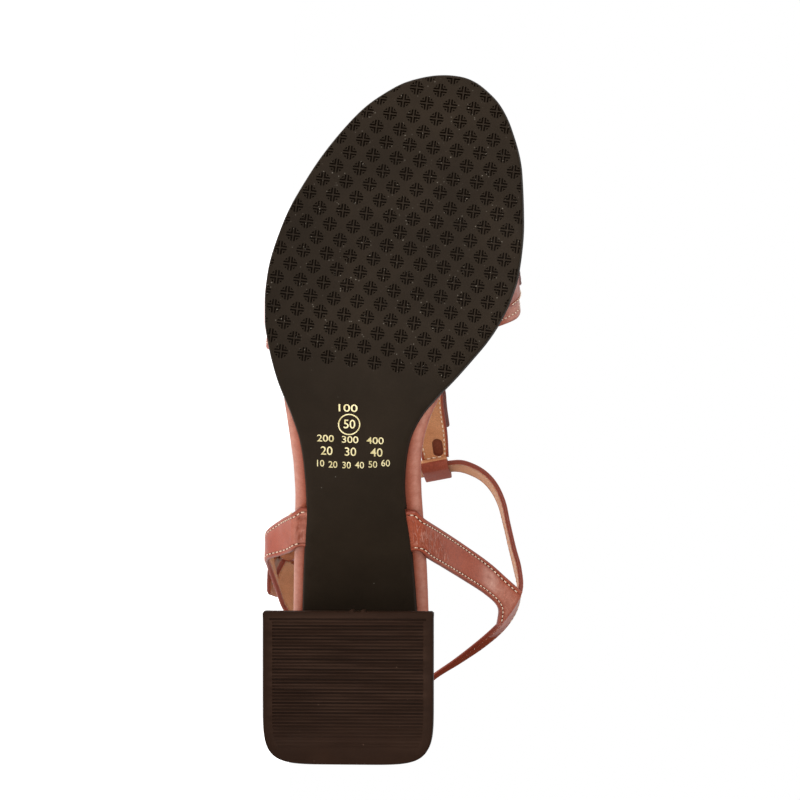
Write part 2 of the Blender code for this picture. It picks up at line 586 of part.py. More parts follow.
def build_heel():
    low, high = ({k: HEEL[k][i] for k in HEEL if k != "level"} for i in (0, 1))
    rings, heights = [], []
    steps = 6
    for i in range(steps + 1):
        s = i / steps
        e = s * (2 - s) * 0.35 + s * 0.65
        rings.append(d_plan({k: low[k] + (high[k] - low[k]) * e for k in low}))
        heights.append(lambda x, y, s=s: (1 - s) * (TOPLIFT_T + GAP) + s * (footbed_base(x) - GAP))
    caps = (lambda x, y, s: TOPLIFT_T + GAP, lambda x, y, s: footbed_base(x) - GAP)
    heel = make_object("heel_block", loft_rings(rings, heights, caps), "heel_cover")
    # The outsole's tail is let into the heel's seat.
    play = GAP + EDGE_FLARE
    x = np.linspace(-60.0, OUTSOLE_TAIL_X - play, 12)
    lat, med = outsole_edges(np.clip(x, OUTSOLE_TAIL_X, None))
    ring = ring_of(np.stack([x, lat - play], 1), np.stack([x, med + play], 1))
    crown = lambda x, y, s: under(x) - GAP - WAIST_CROWN * bulge(s) * float(np.clip((x + 84) / 16, 0, 1))
    seat = loft_rings((ring, ring), (lambda x, y: under(x) - GAP, lambda x, y: under(x) + 12.0), (crown, lambda x, y, s: under(x) + 12.0))
    boolean(heel, make_object("heel_seat_cutter", seat, None, helper=True), "DIFFERENCE")
    return heel


def build_toplift():
    plan = d_plan(TOPLIFT)
    rings = (ring_inset(plan, 0.5), plan, plan)
    heights = (lambda x, y: 0.0, lambda x, y: 0.5, lambda x, y: TOPLIFT_T)
    bm = loft_rings(rings, heights, (lambda x, y, s: 0.0, lambda x, y, s: TOPLIFT_T))
    return make_object("heel_toplift", bm, "toplift_rubber")


def margin_cutter(name, x_ends, side):
    """The pocket in the outsole for a strap's turned-in end."""
    lines = []
    for x in np.linspace(x_ends[0] + 2 * GAP, x_ends[1] - 2 * GAP, 9):
        rows = np.array(wrap_rows(x, side)[:3])
        rows[0, 1] -= side * GAP
        rows[2, 1] += side * 4.0
        lines.append(rows)
    bm = bmesh.new()
    add_grid(bm, ribbon(lines, np.linspace(0, 2, 5)))
    cutter = make_object(name, bm, None, helper=True)
    solidify(cutter, STRAP_T + 2 * GAP)
    return cutter


def build_upper():
    quarter = make_object("upper_quarter_straps", quarter_surface(), "strap_leather")
    solidify(quarter, STRAP_T)
    fore = make_object("upper_vamp_and_tbar", vamp_surface(), "strap_leather")
    solidify(fore, STRAP_T)
    # The T-bar's end is folded into a loop around the ankle strap.
    low, high = ring_edges()
    centre = (low[LOOP_ROW] + high[LOOP_ROW]) / 2
    wide_dir = unit(high[LOOP_ROW] - low[LOOP_ROW])
    axis = unit((low[LOOP_ROW - 1] + high[LOOP_ROW - 1]) / 2 - (low[LOOP_ROW + 1] + high[LOOP_ROW + 1]) / 2)
    wide_dir = unit(wide_dir - axis * np.dot(wide_dir, axis))
    thick_dir = unit(np.cross(wide_dir, axis))
    width = RING["width"][LOOP_ROW]
    loop = tube_band(centre, axis, wide_dir, thick_dir, width + STRAP_T + 2 * LOOP_PLAY, STRAP_T + 2 * LOOP_PLAY, LOOP_WALL, TBAR_LOOP_W)
    boolean(fore, make_object("tbar_loop_form", loop, None, helper=True), "UNION")
    return quarter, fore


def buckle_frame():
    """Local frame of the buckle, at the middle of the strap's run through it: along the strap, out and up."""
    low, high = ring_edges()
    a = RING["place"].index("buckle")
    p, q = (low[a] + high[a]) / 2, (low[a + 1] + high[a + 1]) / 2
    mid, along, out, up = frame_at((p + q) / 2, q - p, high[a] - low[a] + high[a + 1] - low[a + 1])
    return mid, along, out if out[1] < 0 else -out, up


def build_buckle(quarter):
    """Wire frame with its prong.  The strap goes in under the front bar and out over the rear bar, which holds the tab."""
    mid, along, out, up = buckle_frame()
    at = lambda a, o: mid + along * a + out * o
    front_bar = (1.0 - BUCKLE_LONG / 2, STRAP_T / 2 + GAP + WIRE_R + 0.1)
    rear_bar = (BUCKLE_LONG / 2, -(STRAP_T / 2 + GAP + LOOP_WALL + LOOP_PLAY + WIRE_R + 0.1))
    front, rear = at(*front_bar), at(*rear_bar)
    slope = unit(rear - front)
    face = np.cross(slope, up) if np.dot(np.cross(slope, up), out) > 0 else np.cross(up, slope)
    wire = rod(rounded_frame((front + rear) / 2, slope, up, np.linalg.norm(rear - front), BUCKLE_TALL, 2.6), WIRE_R, closed=True)
    frame = make_object("buckle", wire, "buckle_metal")
    # The prong rises from the rear bar through the strap's hole and lies on the front bar.
    rest = front_bar[1] + WIRE_R + PRONG_R - 0.15
    line = [rear_bar, (4.5, -2.9), (3.1, -1.3), (1.7, 0.5), (0.0, 1.9), (-2.8, 3.1), (front_bar[0], rest), (front_bar[0] - 1.2, rest - 0.2)]
    line = spline(line, np.linspace(0, len(line) - 1, 20))
    prong = rod([at(a, o) for a, o in line], PRONG_R, sides=8)
    boolean(frame, make_object("prong_form", prong, None, helper=True), "UNION")
    # The tab's end goes round the bar in two leather loops, with the prong between them.
    hole = 2 * (WIRE_R + LOOP_PLAY)
    for k, sign in enumerate((-1, 1)):
        loop = tube_band(rear + up * sign * 3.0, up, slope, face, hole + 0.02, hole, LOOP_WALL, 3.2)
        boolean(quarter, make_object(f"tab_loop_form_{k}", loop, None, helper=True), "UNION")
    hole = rod([at(a, o) for a, o in line if -2.6 < o < 2.2], PRONG_R + GAP + 0.1, sides=12)
    boolean(quarter, make_object("prong_hole_cutter", hole, None, helper=True), "DIFFERENCE")
    return frame


# ---------------------------------------------------------------- lying down
def volume_and_centre(obj, graph):
    bm = bmesh.new()
    bm.from_object(obj, graph)
    bmesh.ops.triangulate(bm, faces=bm.faces)
    total, moment = 0.0, Vector()
    for f in bm.faces:
        a, b, c = (v.co for v in f.verts)
        v = a.dot(b.cross(c)) / 6
        total += v
        moment += v * (a + b + c) / 4
    points = [v.co.copy() for v in bm.verts]
    bm.free()
    return total, moment, points


def lay_on_outer_side(pieces):
    """Parents the pieces to an empty that turns the shoe on to the face of its hull under its centre of mass, outer side down."""
    bpy.context.view_layer.update()
    graph = bpy.context.evaluated_depsgraph_get()
    density = {"outsole": 1.15, "heel_toplift": 1.2, "heel_block": 0.75, "footbed": 0.7, "buckle": 8.0}
    mass, moment, points = 0.0, Vector(), []
    for obj in pieces:
        v, m, p = volume_and_centre(obj, graph)
        mass += v * density.get(obj.name, 0.95)
        moment += m * density.get(obj.name, 0.95)
        points += p
    centre = moment / mass
    hull = bmesh.new()
    for p in points:
        hull.verts.new(p)
    made = bmesh.ops.convex_hull(hull, input=hull.verts)
    bmesh.ops.triangulate(hull, faces=[f for f in hull.faces])
    hull.normal_update()
    below = None
    for f in hull.faces:
        n = f.normal if (f.calc_center_median() - centre).dot(f.normal) > 0 else -f.normal
        if n.y > -0.5:
            continue
        t = (f.calc_center_median() - centre).dot(n) / Vector((0, -1, 0)).dot(n)
        hit = centre + t * Vector((0, -1, 0))
        a, b, c = (v.co for v in f.verts)
        side = [(q - p).cross(hit - p).dot(n) for p, q in ((a, b), (b, c), (c, a))]
        if all(s >= -1e-12 for s in side) or all(s <= 1e-12 for s in side):
            below = n.copy()
            break
    hull.free()
    up = -below
    toe = Vector((1, 0, 0))
    x_axis = -(toe - up * toe.dot(up)).normalized()
    y_axis = up.cross(x_axis)
    turn = Matrix((x_axis, y_axis, up)).to_4x4()
    turned = np.array([turn @ p for p in points])
    low, high = turned.min(0), turned.max(0)
    pose = bpy.data.objects.new("sandal_lying", None)
    bpy.context.scene.collection.objects.link(pose)
    pose.matrix_world = Matrix.Translation((-(low[0] + high[0]) / 2, -(low[1] + high[1]) / 2, -low[2])) @ turn
    for obj in bpy.data.objects:
        if obj is not pose:
            obj.parent = pose
    return pose


def main():
    for obj in list(bpy.data.objects):
        bpy.data.objects.remove(obj)
    outsole = build_outsole()
    footbed = build_footbed()
    heel = build_heel()
    toplift = build_toplift()
    quarter, fore = build_upper()
    for name, x_ends, side in (
        ("outer_quarter_pocket", OUTER_QUARTER_X, -1),
        ("inner_quarter_pocket", INNER_QUARTER_X, 1),
        ("outer_vamp_pocket", VAMP_OUTER_X, -1),
        ("inner_vamp_pocket", VAMP_INNER_X, 1),
    ):
        boolean(outsole, margin_cutter(name, x_ends, side), "DIFFERENCE")
    buckle = build_buckle(quarter)
    lay_on_outer_side([outsole, footbed, heel, toplift, quarter, fore, buckle])


main()
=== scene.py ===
"""Looks of the right-foot block-heel sandal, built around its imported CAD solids.

Shapes are worked out in millimetres in the shoe's own frame: +X to the toe, +Y to
the inner (medial) side, +Z up, with the floor it would stand on at Z = 0.  They use
the same named sizes and tables as the CAD source, and place() lays them on the
shoe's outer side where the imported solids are.
"""

import math

import bmesh
import bpy
import numpy as np
from mathutils import Matrix, Vector
from mathutils.bvhtree import BVHTree
from mathutils.geometry import delaunay_2d_cdt
from mathutils.kdtree import KDTree


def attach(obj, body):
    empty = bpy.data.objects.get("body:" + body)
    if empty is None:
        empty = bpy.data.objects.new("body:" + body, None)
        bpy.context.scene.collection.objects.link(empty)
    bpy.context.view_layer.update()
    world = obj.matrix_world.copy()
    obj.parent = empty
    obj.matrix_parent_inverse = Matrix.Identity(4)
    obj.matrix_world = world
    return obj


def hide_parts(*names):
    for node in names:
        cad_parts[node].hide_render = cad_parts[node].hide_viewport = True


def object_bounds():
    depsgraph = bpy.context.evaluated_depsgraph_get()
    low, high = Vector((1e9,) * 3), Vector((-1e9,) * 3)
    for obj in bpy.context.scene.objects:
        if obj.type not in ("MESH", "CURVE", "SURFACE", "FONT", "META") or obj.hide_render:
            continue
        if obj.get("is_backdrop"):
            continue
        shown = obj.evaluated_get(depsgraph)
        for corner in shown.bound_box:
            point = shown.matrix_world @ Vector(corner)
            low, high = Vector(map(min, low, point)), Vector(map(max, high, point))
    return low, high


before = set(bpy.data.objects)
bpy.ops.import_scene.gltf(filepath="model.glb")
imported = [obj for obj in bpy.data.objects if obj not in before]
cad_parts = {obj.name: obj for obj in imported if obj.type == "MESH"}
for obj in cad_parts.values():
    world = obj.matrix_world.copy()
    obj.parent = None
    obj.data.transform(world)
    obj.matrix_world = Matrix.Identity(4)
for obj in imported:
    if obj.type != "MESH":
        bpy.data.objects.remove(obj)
CAD_LOW, CAD_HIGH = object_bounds()

# ---------------------------------------------------------------- sizes shared with the CAD
GAP = 0.3
TOE_X = 110.0
TOE_Y = 14.0
OUTSOLE_TAIL_X = -84.0
OUTSOLE_FORE_T = 3.2
OUTSOLE_WAIST_T = 2.7
EDGE_FLARE = 0.5
WAIST_CROWN = 0.7
INSOLE_T = 5.0
INSOLE_ROLL = 2.2
INSOLE_INSET = 2.6
INSOLE_HEEL_X = -128.3
INSOLE_HEEL_Y = -17.5
INSOLE_DISH = 1.1
TOPLIFT_T = 6.0
STRAP_T = 1.7
STRAP_OFF = GAP + 0.12 + STRAP_T / 2
LASTING = 7.5
LOOP_WALL = 1.4
LOOP_PLAY = 0.35
WIRE_R = 1.0
PRONG_R = 0.75
BUCKLE_LONG = 12.4
BUCKLE_TALL = 13.6
TBAR_LOOP_W = 9.6
LOOP_ROW = 24

PROFILE = {
    "x":      (-131.0, -110.0, -90.0, -71.0, -55.0, -40.0, -25.0, -9.0, 5.0, 22.0, 62.0, 80.0, 95.0, 111.0),
    "height": (  48.6,   45.8,  41.5,  35.0,  27.6,  19.6,  11.6,  4.6, 1.2,  0.0,  0.0,  1.4,  4.2,   8.6),
}
OUTSOLE = {
    "back":    (0.0,  1.0,  2.5,  5.7, 10.2, 18.8, 34.2, 51.1, 67.9, 76.3, 83.1, 89.8, 96.5, 103.3, 108.3, 116.1, 124.2, 132.4, 140.7, 149.1, 157.5, 170.2, 183.0, 194.0),
    "lateral": (14.0, 6.0,  1.0, -5.0, -11.4, -19.7, -30.9, -39.9, -44.9, -45.7, -45.7, -44.8, -43.4, -41.5, -39.6, -36.6, -34.3, -33.4, -33.1, -33.4, -34.3, -35.5, -36.4, -37.0),
    "medial":  (14.0, 21.4, 24.7, 28.8, 32.9, 37.1, 40.7, 41.3, 39.6, 37.0, 33.8, 29.5, 23.9, 17.8, 12.9, 6.3, 2.4, 0.8, 0.2, 0.6, 1.6, 2.3, 2.9, 3.2),
}
INSOLE = {
    "x":       (-127.3, -125.0, -120.5, -112.5, -100.0, -85.0, -72.0, -60.0, -40.0, -30.0, -22.0, -14.0, -6.0, 2.0, 9.0),
    "lateral": (-24.5, -30.0, -35.6, -39.8, -41.9, -41.3, -40.2, -39.5, -38.1, -37.5, -37.6, -38.3, -39.2, -40.2, -40.6),
    "medial":  (-10.5, -5.0, 0.4, 4.4, 6.8, 7.2, 7.1, 7.0, 6.3, 6.0, 6.1, 7.2, 9.6, 13.6, 18.0),
}
HEEL = {
    "level":     ("bottom", "top"),
    "breast_x":  (-72.0, -76.0),
    "back_x":    (-122.4, -126.0),
    "centre_y":  (-17.7, -17.3),
    "half_wide": (28.2, 22.6),
    "squareness": (5.5, 2.7),
}
TOPLIFT = {"breast_x": -71.4, "back_x": -123.0, "centre_y": -17.7, "half_wide": 28.8, "squareness": 5.5}
RING = {
    "place": ("tab", "tab", "outer", "outer", "outer", "outer", "heel", "heel", "heel", "heel", "inner", "inner", "inner", "inner", "inner", "inner", "front", "front", "front", "front", "front", "front", "front", "loop", "loop", "loop", "instep", "instep", "instep", "instep", "buckle", "buckle", "tail", "tail", "tip"),
    "x":     (-57.2, -60.4, -63.8, -68.5, -75.5, -84.0, -96.0, -107.0, -112.0, -109.0, -101.0, -95.0, -88.5, -82.0, -75.5, -68.0, -60.5, -53.2, -44.5, -37.2, -31.2, -26.95, -24.25, -23.9, -25.0, -26.1, -27.2, -30.0, -34.2, -38.6, -43.0, -53.2, -60.0, -65.8, -71.0),
    "y":     (-45.8, -47.4, -48.2, -46.6, -44.7, -41.7, -36.6, -26.5, -14.0, -3.0, 5.8, 14.6, 23.3, 30.5, 35.3, 37.8, 36.9, 35.0, 32.9, 31.05, 28.0, 23.7, 17.8, 13.0, 7.3, 1.6, -4.0, -17.0, -28.5, -36.6, -41.4, -48.1, -50.9, -51.5, -51.8),
    "z":     (75.7, 75.4, 75.4, 76.6, 79.0, 82.5, 87.0, 91.5, 93.6, 93.2, 91.0, 88.6, 85.0, 81.2, 78.0, 76.2, 77.0, 78.4, 80.2, 81.4, 82.2, 82.7, 83.0, 83.0, 83.0, 83.0, 83.0, 82.8, 81.6, 79.8, 78.1, 76.0, 77.0, 78.8, 80.4),
    "width": (9.6, 9.8, 10.4, 10.8, 10.8, 10.4, 10.4, 10.4, 10.4, 10.4, 10.4, 10.4, 10.4, 10.6, 10.8, 10.4, 9.6, 9.5, 9.5, 9.5, 9.5, 9.5, 9.5, 9.5, 9.5, 9.5, 9.5, 9.5, 9.5, 9.5, 9.5, 9.5, 9.5, 9.5, 8.6),
    "upper_in": (1.2, 3.2, 3.8, 3.0, 1.8, 0.7) + (0.0,) * 29,
    "lean_x": (-0.20, -0.14, -0.08, -0.05, 0.0, 0.05, 0.06, 0.03, 0.0, -0.03, -0.06, -0.10, -0.15, -0.14, -0.05, 0.0, -0.03, -0.06, -0.10, -0.18, -0.33, -0.42, -0.44, -0.36, -0.36, -0.36, -0.36, -0.33, -0.25, -0.17, -0.10, -0.03, -0.06, -0.14, -0.20),
    "lean_y": (0.11, 0.22, 0.36, 0.44, 0.45, 0.42, 0.26, 0.12, 0.05, 0.04, 0.06, 0.12, 0.20, 0.22, 0.14, -0.08, -0.21, -0.18, -0.17, -0.20, -0.17, -0.08, -0.01, 0.0, 0.0, 0.0, 0.0, 0.07, 0.15, 0.19, 0.20, 0.20, 0.24, 0.28, 0.30),
}
OUTER_JOIN = (2, 4)
INNER_JOIN = (13, 15)
OUTER_QUARTER_X = (-37.0, -50.6)
INNER_QUARTER_X = (-38.0, -52.0)
QUARTER_RAKE = {-1: -2.2, 1: -3.4}
OUTER_QUARTER = {
    "x": (-47.9, -51.2, -55.6), "y": (-43.8, -50.0, -50.8), "z": (35.5, 48.0, 61.0),
    "dx": (6.3, 5.2, 5.0), "dy": (0.0, 0.0, 0.0), "dz": (-1.6, 0.2, 0.4),
}
INNER_QUARTER = {
    "x": (-51.4, -56.9, -63.55), "y": (11.6, 18.6, 26.9), "z": (36.5, 50.0, 62.0),
    "dx": (6.6, 6.4, 5.8), "dy": (0.0, 0.0, 0.6), "dz": (-1.8, -1.0, -0.6),
}
VAMP_OUTER_X = (32.5, 16.5)
VAMP_INNER_X = (42.5, 24.0)
VAMP_SLOPE = 0.13
VAMP = {
    "y":      (-45.7, -44.1, -37.5, -26.0, -12.0, 4.0, 19.0, 29.8, 36.2, 38.2, 37.8),
    "z":      ( 14.0,  24.0,  34.0,  42.2,  47.6, 50.1, 48.4, 41.7, 31.5, 21.5, 13.0),
    "mid_x":  ( 25.3,  27.2,  30.5,  33.5,  36.5, 39.5, 41.4, 41.7, 40.2, 37.8, 35.2),
    "half_x": (  7.8,   8.3,   9.6,  11.0,  11.9, 12.0, 11.2,  9.8,  8.0,  6.9,  7.8),
    "skew_y": (  0.5,   0.5,   0.2,   0.0,   0.0,  0.0,  0.0, -0.2, -0.6, -0.8, -0.4),
}
TBAR_JOIN = (3.6, 6.4)
TBAR = {
    "x": (12.0, 0.0, -12.0, -21.4), "y": (4.4, 4.8, 6.4, 7.35), "z": (57.6, 65.0, 72.8, 79.05),
    "half_y": (7.4, 6.2, 5.6, 4.8), "half_x": (0.0, 0.0, 0.3, 0.9),
}

# The shoe on its outer side: tilt off the vertical, swing of its long axis, and the place of its frame's origin in metres.
LIE_TILT = 5.7816
LIE_SWING = 0.3189
LIE_AT = (-0.0088912, -0.0478, 0.0458149)


def lying():
    t, s = math.radians(LIE_TILT), math.radians(LIE_SWING)
    medial = Vector((-math.sin(s) * math.cos(t), -math.sin(t), math.cos(s) * math.cos(t)))
    toe = Vector((-math.cos(s), 0.0, -math.sin(s)))
    medial = (medial - toe * medial.dot(toe)).normalized()
    up = toe.cross(medial)
    return np.array([toe, medial, up]).T


TURN = lying()


def place(points):
    """Shoe millimetres to the row frame's metres."""
    return np.asarray(points, float) * 0.001 @ TURN.T + np.array(LIE_AT)


# ---------------------------------------------------------------- small maths
def smooth(xs, ys, x):
    """Monotone cubic through a table."""
    xs, ys = np.asarray(xs, float), np.asarray(ys, float)
    h, d = np.diff(xs), np.diff(ys) / np.diff(xs)
    m = np.zeros_like(ys)
    m[0], m[-1] = d[0], d[-1]
    for i in range(1, len(xs) - 1):
        if d[i - 1] * d[i] > 0:
            a, b = 2 * h[i] + h[i - 1], h[i] + 2 * h[i - 1]
            m[i] = (a + b) / (a / d[i - 1] + b / d[i])
    x = np.clip(np.asarray(x, float), xs[0], xs[-1])
    k = np.clip(np.searchsorted(xs, x, side="right") - 1, 0, len(xs) - 2)
    t = (x - xs[k]) / h[k]
    return (ys[k] * (2 * t**3 - 3 * t**2 + 1) + h[k] * m[k] * (t**3 - 2 * t**2 + t)
            + ys[k + 1] * (3 * t**2 - 2 * t**3) + h[k] * m[k + 1] * (t**3 - t**2))


def spline(points, where):
    """Catmull-Rom curve through rows of numbers, read at fractional row numbers."""
    p = np.asarray(points, float)
    p = np.vstack([2 * p[0] - p[1], p, 2 * p[-1] - p[-2]])
    where = np.clip(np.asarray(where, float), 0, len(p) - 3)
    k = np.minimum(where.astype(int), len(p) - 4)
    t = (where - k)[:, None]
    a, b, c, d = p[k], p[k + 1], p[k + 2], p[k + 3]
    return 0.5 * (2 * b + (c - a) * t + (2 * a - 5 * b + 4 * c - d) * t**2 + (3 * b - a - 3 * c + d) * t**3)


def unit(v):
    v = np.asarray(v, float)
    return v / np.maximum(np.linalg.norm(v, axis=-1, keepdims=True), 1e-12)


def ease(x, low, high):
    t = np.clip((np.asarray(x, float) - low) / (high - low), 0, 1)
    return t * t * (3 - 2 * t)


def bell(x, at, wide):
    return np.exp(-(((np.asarray(x, float) - at) / wide) ** 2))


# ---------------------------------------------------------------- sole shapes
def under(x):
    return smooth(PROFILE["x"], PROFILE["height"], x)


def outsole_thick(x):
    return OUTSOLE_WAIST_T + (OUTSOLE_FORE_T - OUTSOLE_WAIST_T) * np.clip((np.asarray(x, float) + 15) / 30, 0, 1)


def footbed_base(x):
    return under(x) + outsole_thick(x) + GAP


def outsole_edges(x):
    t = np.sqrt(np.clip(TOE_X - np.asarray(x, float), 0, None))
    ts = np.sqrt(np.asarray(OUTSOLE["back"]))
    return smooth(ts, OUTSOLE["lateral"], t), smooth(ts, OUTSOLE["medial"], t)


def stations(nose, tail, count, tail_round):
    u = np.linspace(0, 1, count + 2)[1:] if not tail_round else np.linspace(0, 1, count + 2)[1:-1]
    s = (1 - np.cos(u * math.pi)) / 2 if tail_round else 1 - np.cos(u * math.pi / 2)
    return nose + (tail - nose) * s


def ring_of(lateral, medial, nose=None, tail=None, columns=6):
    lateral, medial = np.asarray(lateral, float), np.asarray(medial, float)
    part = (np.arange(1, columns) / columns)[:, None]
    nose = medial[0] + (lateral[0] - medial[0]) * part if nose is None else np.reshape(nose, (-1, 2))
    tail = lateral[-1] + (medial[-1] - lateral[-1]) * part if tail is None else np.reshape(tail, (-1, 2))
    return {"nose": nose, "lat": lateral, "tail": tail, "med": medial}


def ring_points(ring):
    return np.vstack([ring["nose"], ring["lat"], ring["tail"], ring["med"][::-1]])


def ring_split(ring, items):
    i = len(ring["nose"])
    j = i + len(ring["lat"])
    k = j + len(ring["tail"])
    return items[:i], items[i:j], items[j:k], items[k:][::-1]


def inward_of(p):
    t = unit(np.roll(p, -1, 0) - np.roll(p, 1, 0))
    inward = np.stack([-t[:, 1], t[:, 0]], 1)
    if np.sum(p[:, 0] * np.roll(p[:, 1], -1) - p[:, 1] * np.roll(p[:, 0], -1)) < 0:
        inward = -inward
    return inward


def ring_inset(ring, inset):
    p = ring_points(ring)
    nose, lat, tail, med = ring_split(ring, p + inward_of(p) * inset)
    return {"nose": np.reshape(nose, (-1, 2)), "lat": lat, "tail": np.reshape(tail, (-1, 2)), "med": med}


def outsole_ring(count=46):
    x = stations(TOE_X, OUTSOLE_TAIL_X, count, False)
    lat, med = outsole_edges(x)
    return ring_of(np.stack([x, lat], 1), np.stack([x, med], 1), np.array([TOE_X, TOE_Y]))


def footbed_ring(count=52):
    fore = ring_inset(outsole_ring(160), INSOLE_INSET)
    nose = fore["nose"][0]
    x = stations(nose[0], INSOLE_HEEL_X, count, True)
    edges = []
    for side in ("lateral", "medial"):
        f = fore["lat" if side == "lateral" else "med"]
        order = np.argsort(f[:, 0])
        ahead = np.interp(x, f[order, 0], f[order, 1])
        heel_x = np.concatenate([[INSOLE_HEEL_X], INSOLE["x"]])
        heel_y = np.concatenate([[INSOLE_HEEL_Y], INSOLE[side]])
        root = smooth(np.sqrt(heel_x - INSOLE_HEEL_X), heel_y, np.sqrt(np.clip(x - INSOLE_HEEL_X, 0, None)))
        blend = ease(x, 4.0, 18.0)
        edges.append(np.stack([x, root * (1 - blend) + ahead * blend], 1))
    return ring_of(edges[0], edges[1], nose, np.array([INSOLE_HEEL_X, INSOLE_HEEL_Y]))


FOOTBED = footbed_ring(190)


def footbed_edge(x, side):
    rows = FOOTBED["lat" if side < 0 else "med"]
    return np.interp(x, rows[::-1, 0], rows[::-1, 1])


def d_plan(spec, count=44, columns=24):
    half = (spec["breast_x"] - spec["back_x"]) / 2
    x_mid = spec["breast_x"] - half
    side = np.linspace(spec["breast_x"], x_mid, 13)[:-1]
    turn = np.linspace(0, math.pi / 2, count)[:-1]
    n = spec["squareness"]
    x = np.concatenate([side, x_mid - half * np.sin(turn) ** (2 / n)])
    w = spec["half_wide"] * np.concatenate([np.ones(12), np.cos(turn) ** (2 / n)])
    c = spec["centre_y"]
    return ring_of(np.stack([x, c - w], 1), np.stack([x, c + w], 1), None, np.array([spec["back_x"], c]), columns)


def even_loop(points, spacing):
    """A closed plan with its points spaced evenly."""
    p = np.vstack([points, points[:1]])
    run = np.concatenate([[0], np.cumsum(np.linalg.norm(np.diff(p, axis=0), axis=1))])
    at = np.linspace(0, run[-1], int(run[-1] / spacing) + 1)[:-1]
    return np.stack([np.interp(at, run, p[:, 0]), np.interp(at, run, p[:, 1])], 1)


def in_plan(points, plan):
    """Which points lie inside a closed plan."""
    x, y = points[:, 0], points[:, 1]
    inside = np.zeros(len(points), bool)
    for (a, b), (c, d) in zip(plan, np.roll(plan, -1, 0)):
        if b != d:
            inside ^= ((b > y) != (d > y)) & (x < (c - a) * (y - b) / (d - b) + a)
    return inside


# ---------------------------------------------------------------- mesh makers
MATERIAL = {}


def make_object(name, verts, faces, materials, face_material=None, sharp=38.0, numbers=None, slot=None, fix_normals=True):
    """A finished piece from shoe millimetres.  numbers: named values on its points."""
    mesh = bpy.data.meshes.new(name)
    mesh.from_pydata([tuple(v) for v in place(verts)], [], [tuple(int(i) for i in f) for f in faces])
    for m in materials:
        mesh.materials.append(MATERIAL[m])
    if face_material is not None:
        mesh.polygons.foreach_set("material_index", np.asarray(face_material, np.int32))
    for key, value in (numbers or {}).items():
        value = np.asarray(value, np.float32)
        kind = "FLOAT_VECTOR" if value.ndim == 2 else "FLOAT"
        held = mesh.attributes.new(key, kind, "POINT")
        held.data.foreach_set("vector" if value.ndim == 2 else "value", value.ravel())
    if fix_normals:
        bm = bmesh.new()
        bm.from_mesh(mesh)
        bmesh.ops.recalc_face_normals(bm, faces=bm.faces)
        bm.to_mesh(mesh)
        bm.free()
    mesh.validate()
    mesh.shade_smooth()
    mesh.set_sharp_from_angle(angle=math.radians(sharp))
    obj = bpy.data.objects.new(name, mesh)
    bpy.context.scene.collection.objects.link(obj)
    return obj


def cut(obj, other, operation="DIFFERENCE", solver="MANIFOLD"):
    """Boolean, applied, with the other object removed."""
    made = obj.modifiers.new("cut", "BOOLEAN")
    made.operation = operation
    made.solver = solver
    made.object = other
    bpy.context.view_layer.update()
    graph = bpy.context.evaluated_depsgraph_get()
    mesh = bpy.data.meshes.new_from_object(obj.evaluated_get(graph), preserve_all_data_layers=True, depsgraph=graph)
    before = len(obj.data.polygons)
    obj.modifiers.clear()
    if len(mesh.polygons) < before * 0.2:
        print("cut left too little of", obj.name, len(mesh.polygons), "of", before)
    else:
        old = obj.data
        obj.data = mesh
        mesh.name = old.name
    bpy.data.objects.remove(other)
    return obj


def clean_plan(points):
    return [Vector((float(x), float(y))) for x, y in points]


def outward_along(points, outline):
    """Directions out from an outline at points on it, changing evenly along each of its sides."""
    out = -inward_of(outline)
    for _ in range(2):
        out = unit(out + 0.5 * (np.roll(out, 1, 0) + np.roll(out, -1, 0)))
    to, turned = np.roll(outline, -1, 0) - outline, np.roll(out, -1, 0)
    share = np.sum((points[:, None] - outline[None]) * to[None], -1) / np.sum(to * to, -1)[None]
    share = np.clip(share, 0, 1)
    gap = np.linalg.norm(outline[None] + to[None] * share[..., None] - points[:, None], axis=-1)
    k = np.argmin(gap, axis=1)
    s = share[np.arange(len(points)), k][:, None]
    return unit(out[k] * (1 - s) + turned[k] * s)


def within(flat, faces, sides, came, count):
    """The triangles inside an outline, found by spreading from the largest one as far as the outline's own sides, which are
    the first count of the sides that the triangulation was given."""
    walls = {tuple(sorted(s)) for s, ids in zip(sides, came) if any(i < count for i in ids)}
    faces = [tuple(f) for f in faces if len(f) == 3]
    beside = {}
    for k, f in enumerate(faces):
        for a, b in zip(f, f[1:] + f[:1]):
            beside.setdefault((min(a, b), max(a, b)), []).append(k)
    corner = flat[np.array(faces)]
    u, v = corner[:, 1] - corner[:, 0], corner[:, 2] - corner[:, 0]
    outline = flat[sorted({i for s in walls for i in s})]
    middle = np.linalg.norm(corner.mean(1) - outline.mean(0), axis=1)
    area = np.abs(u[:, 0] * v[:, 1] - u[:, 1] * v[:, 0])
    first = int(np.argmax(np.where(middle < 25.0, area, 0.0)))
    seen, todo = {first}, [first]
    while todo:
        f = faces[todo.pop()]
        for a, b in zip(f, f[1:] + f[:1]):
            key = (min(a, b), max(a, b))
            if key not in walls:
                for k in beside[key]:
                    if k not in seen:
                        seen.add(k)
                        todo.append(k)
    return np.array([faces[k] for k in sorted(seen)])


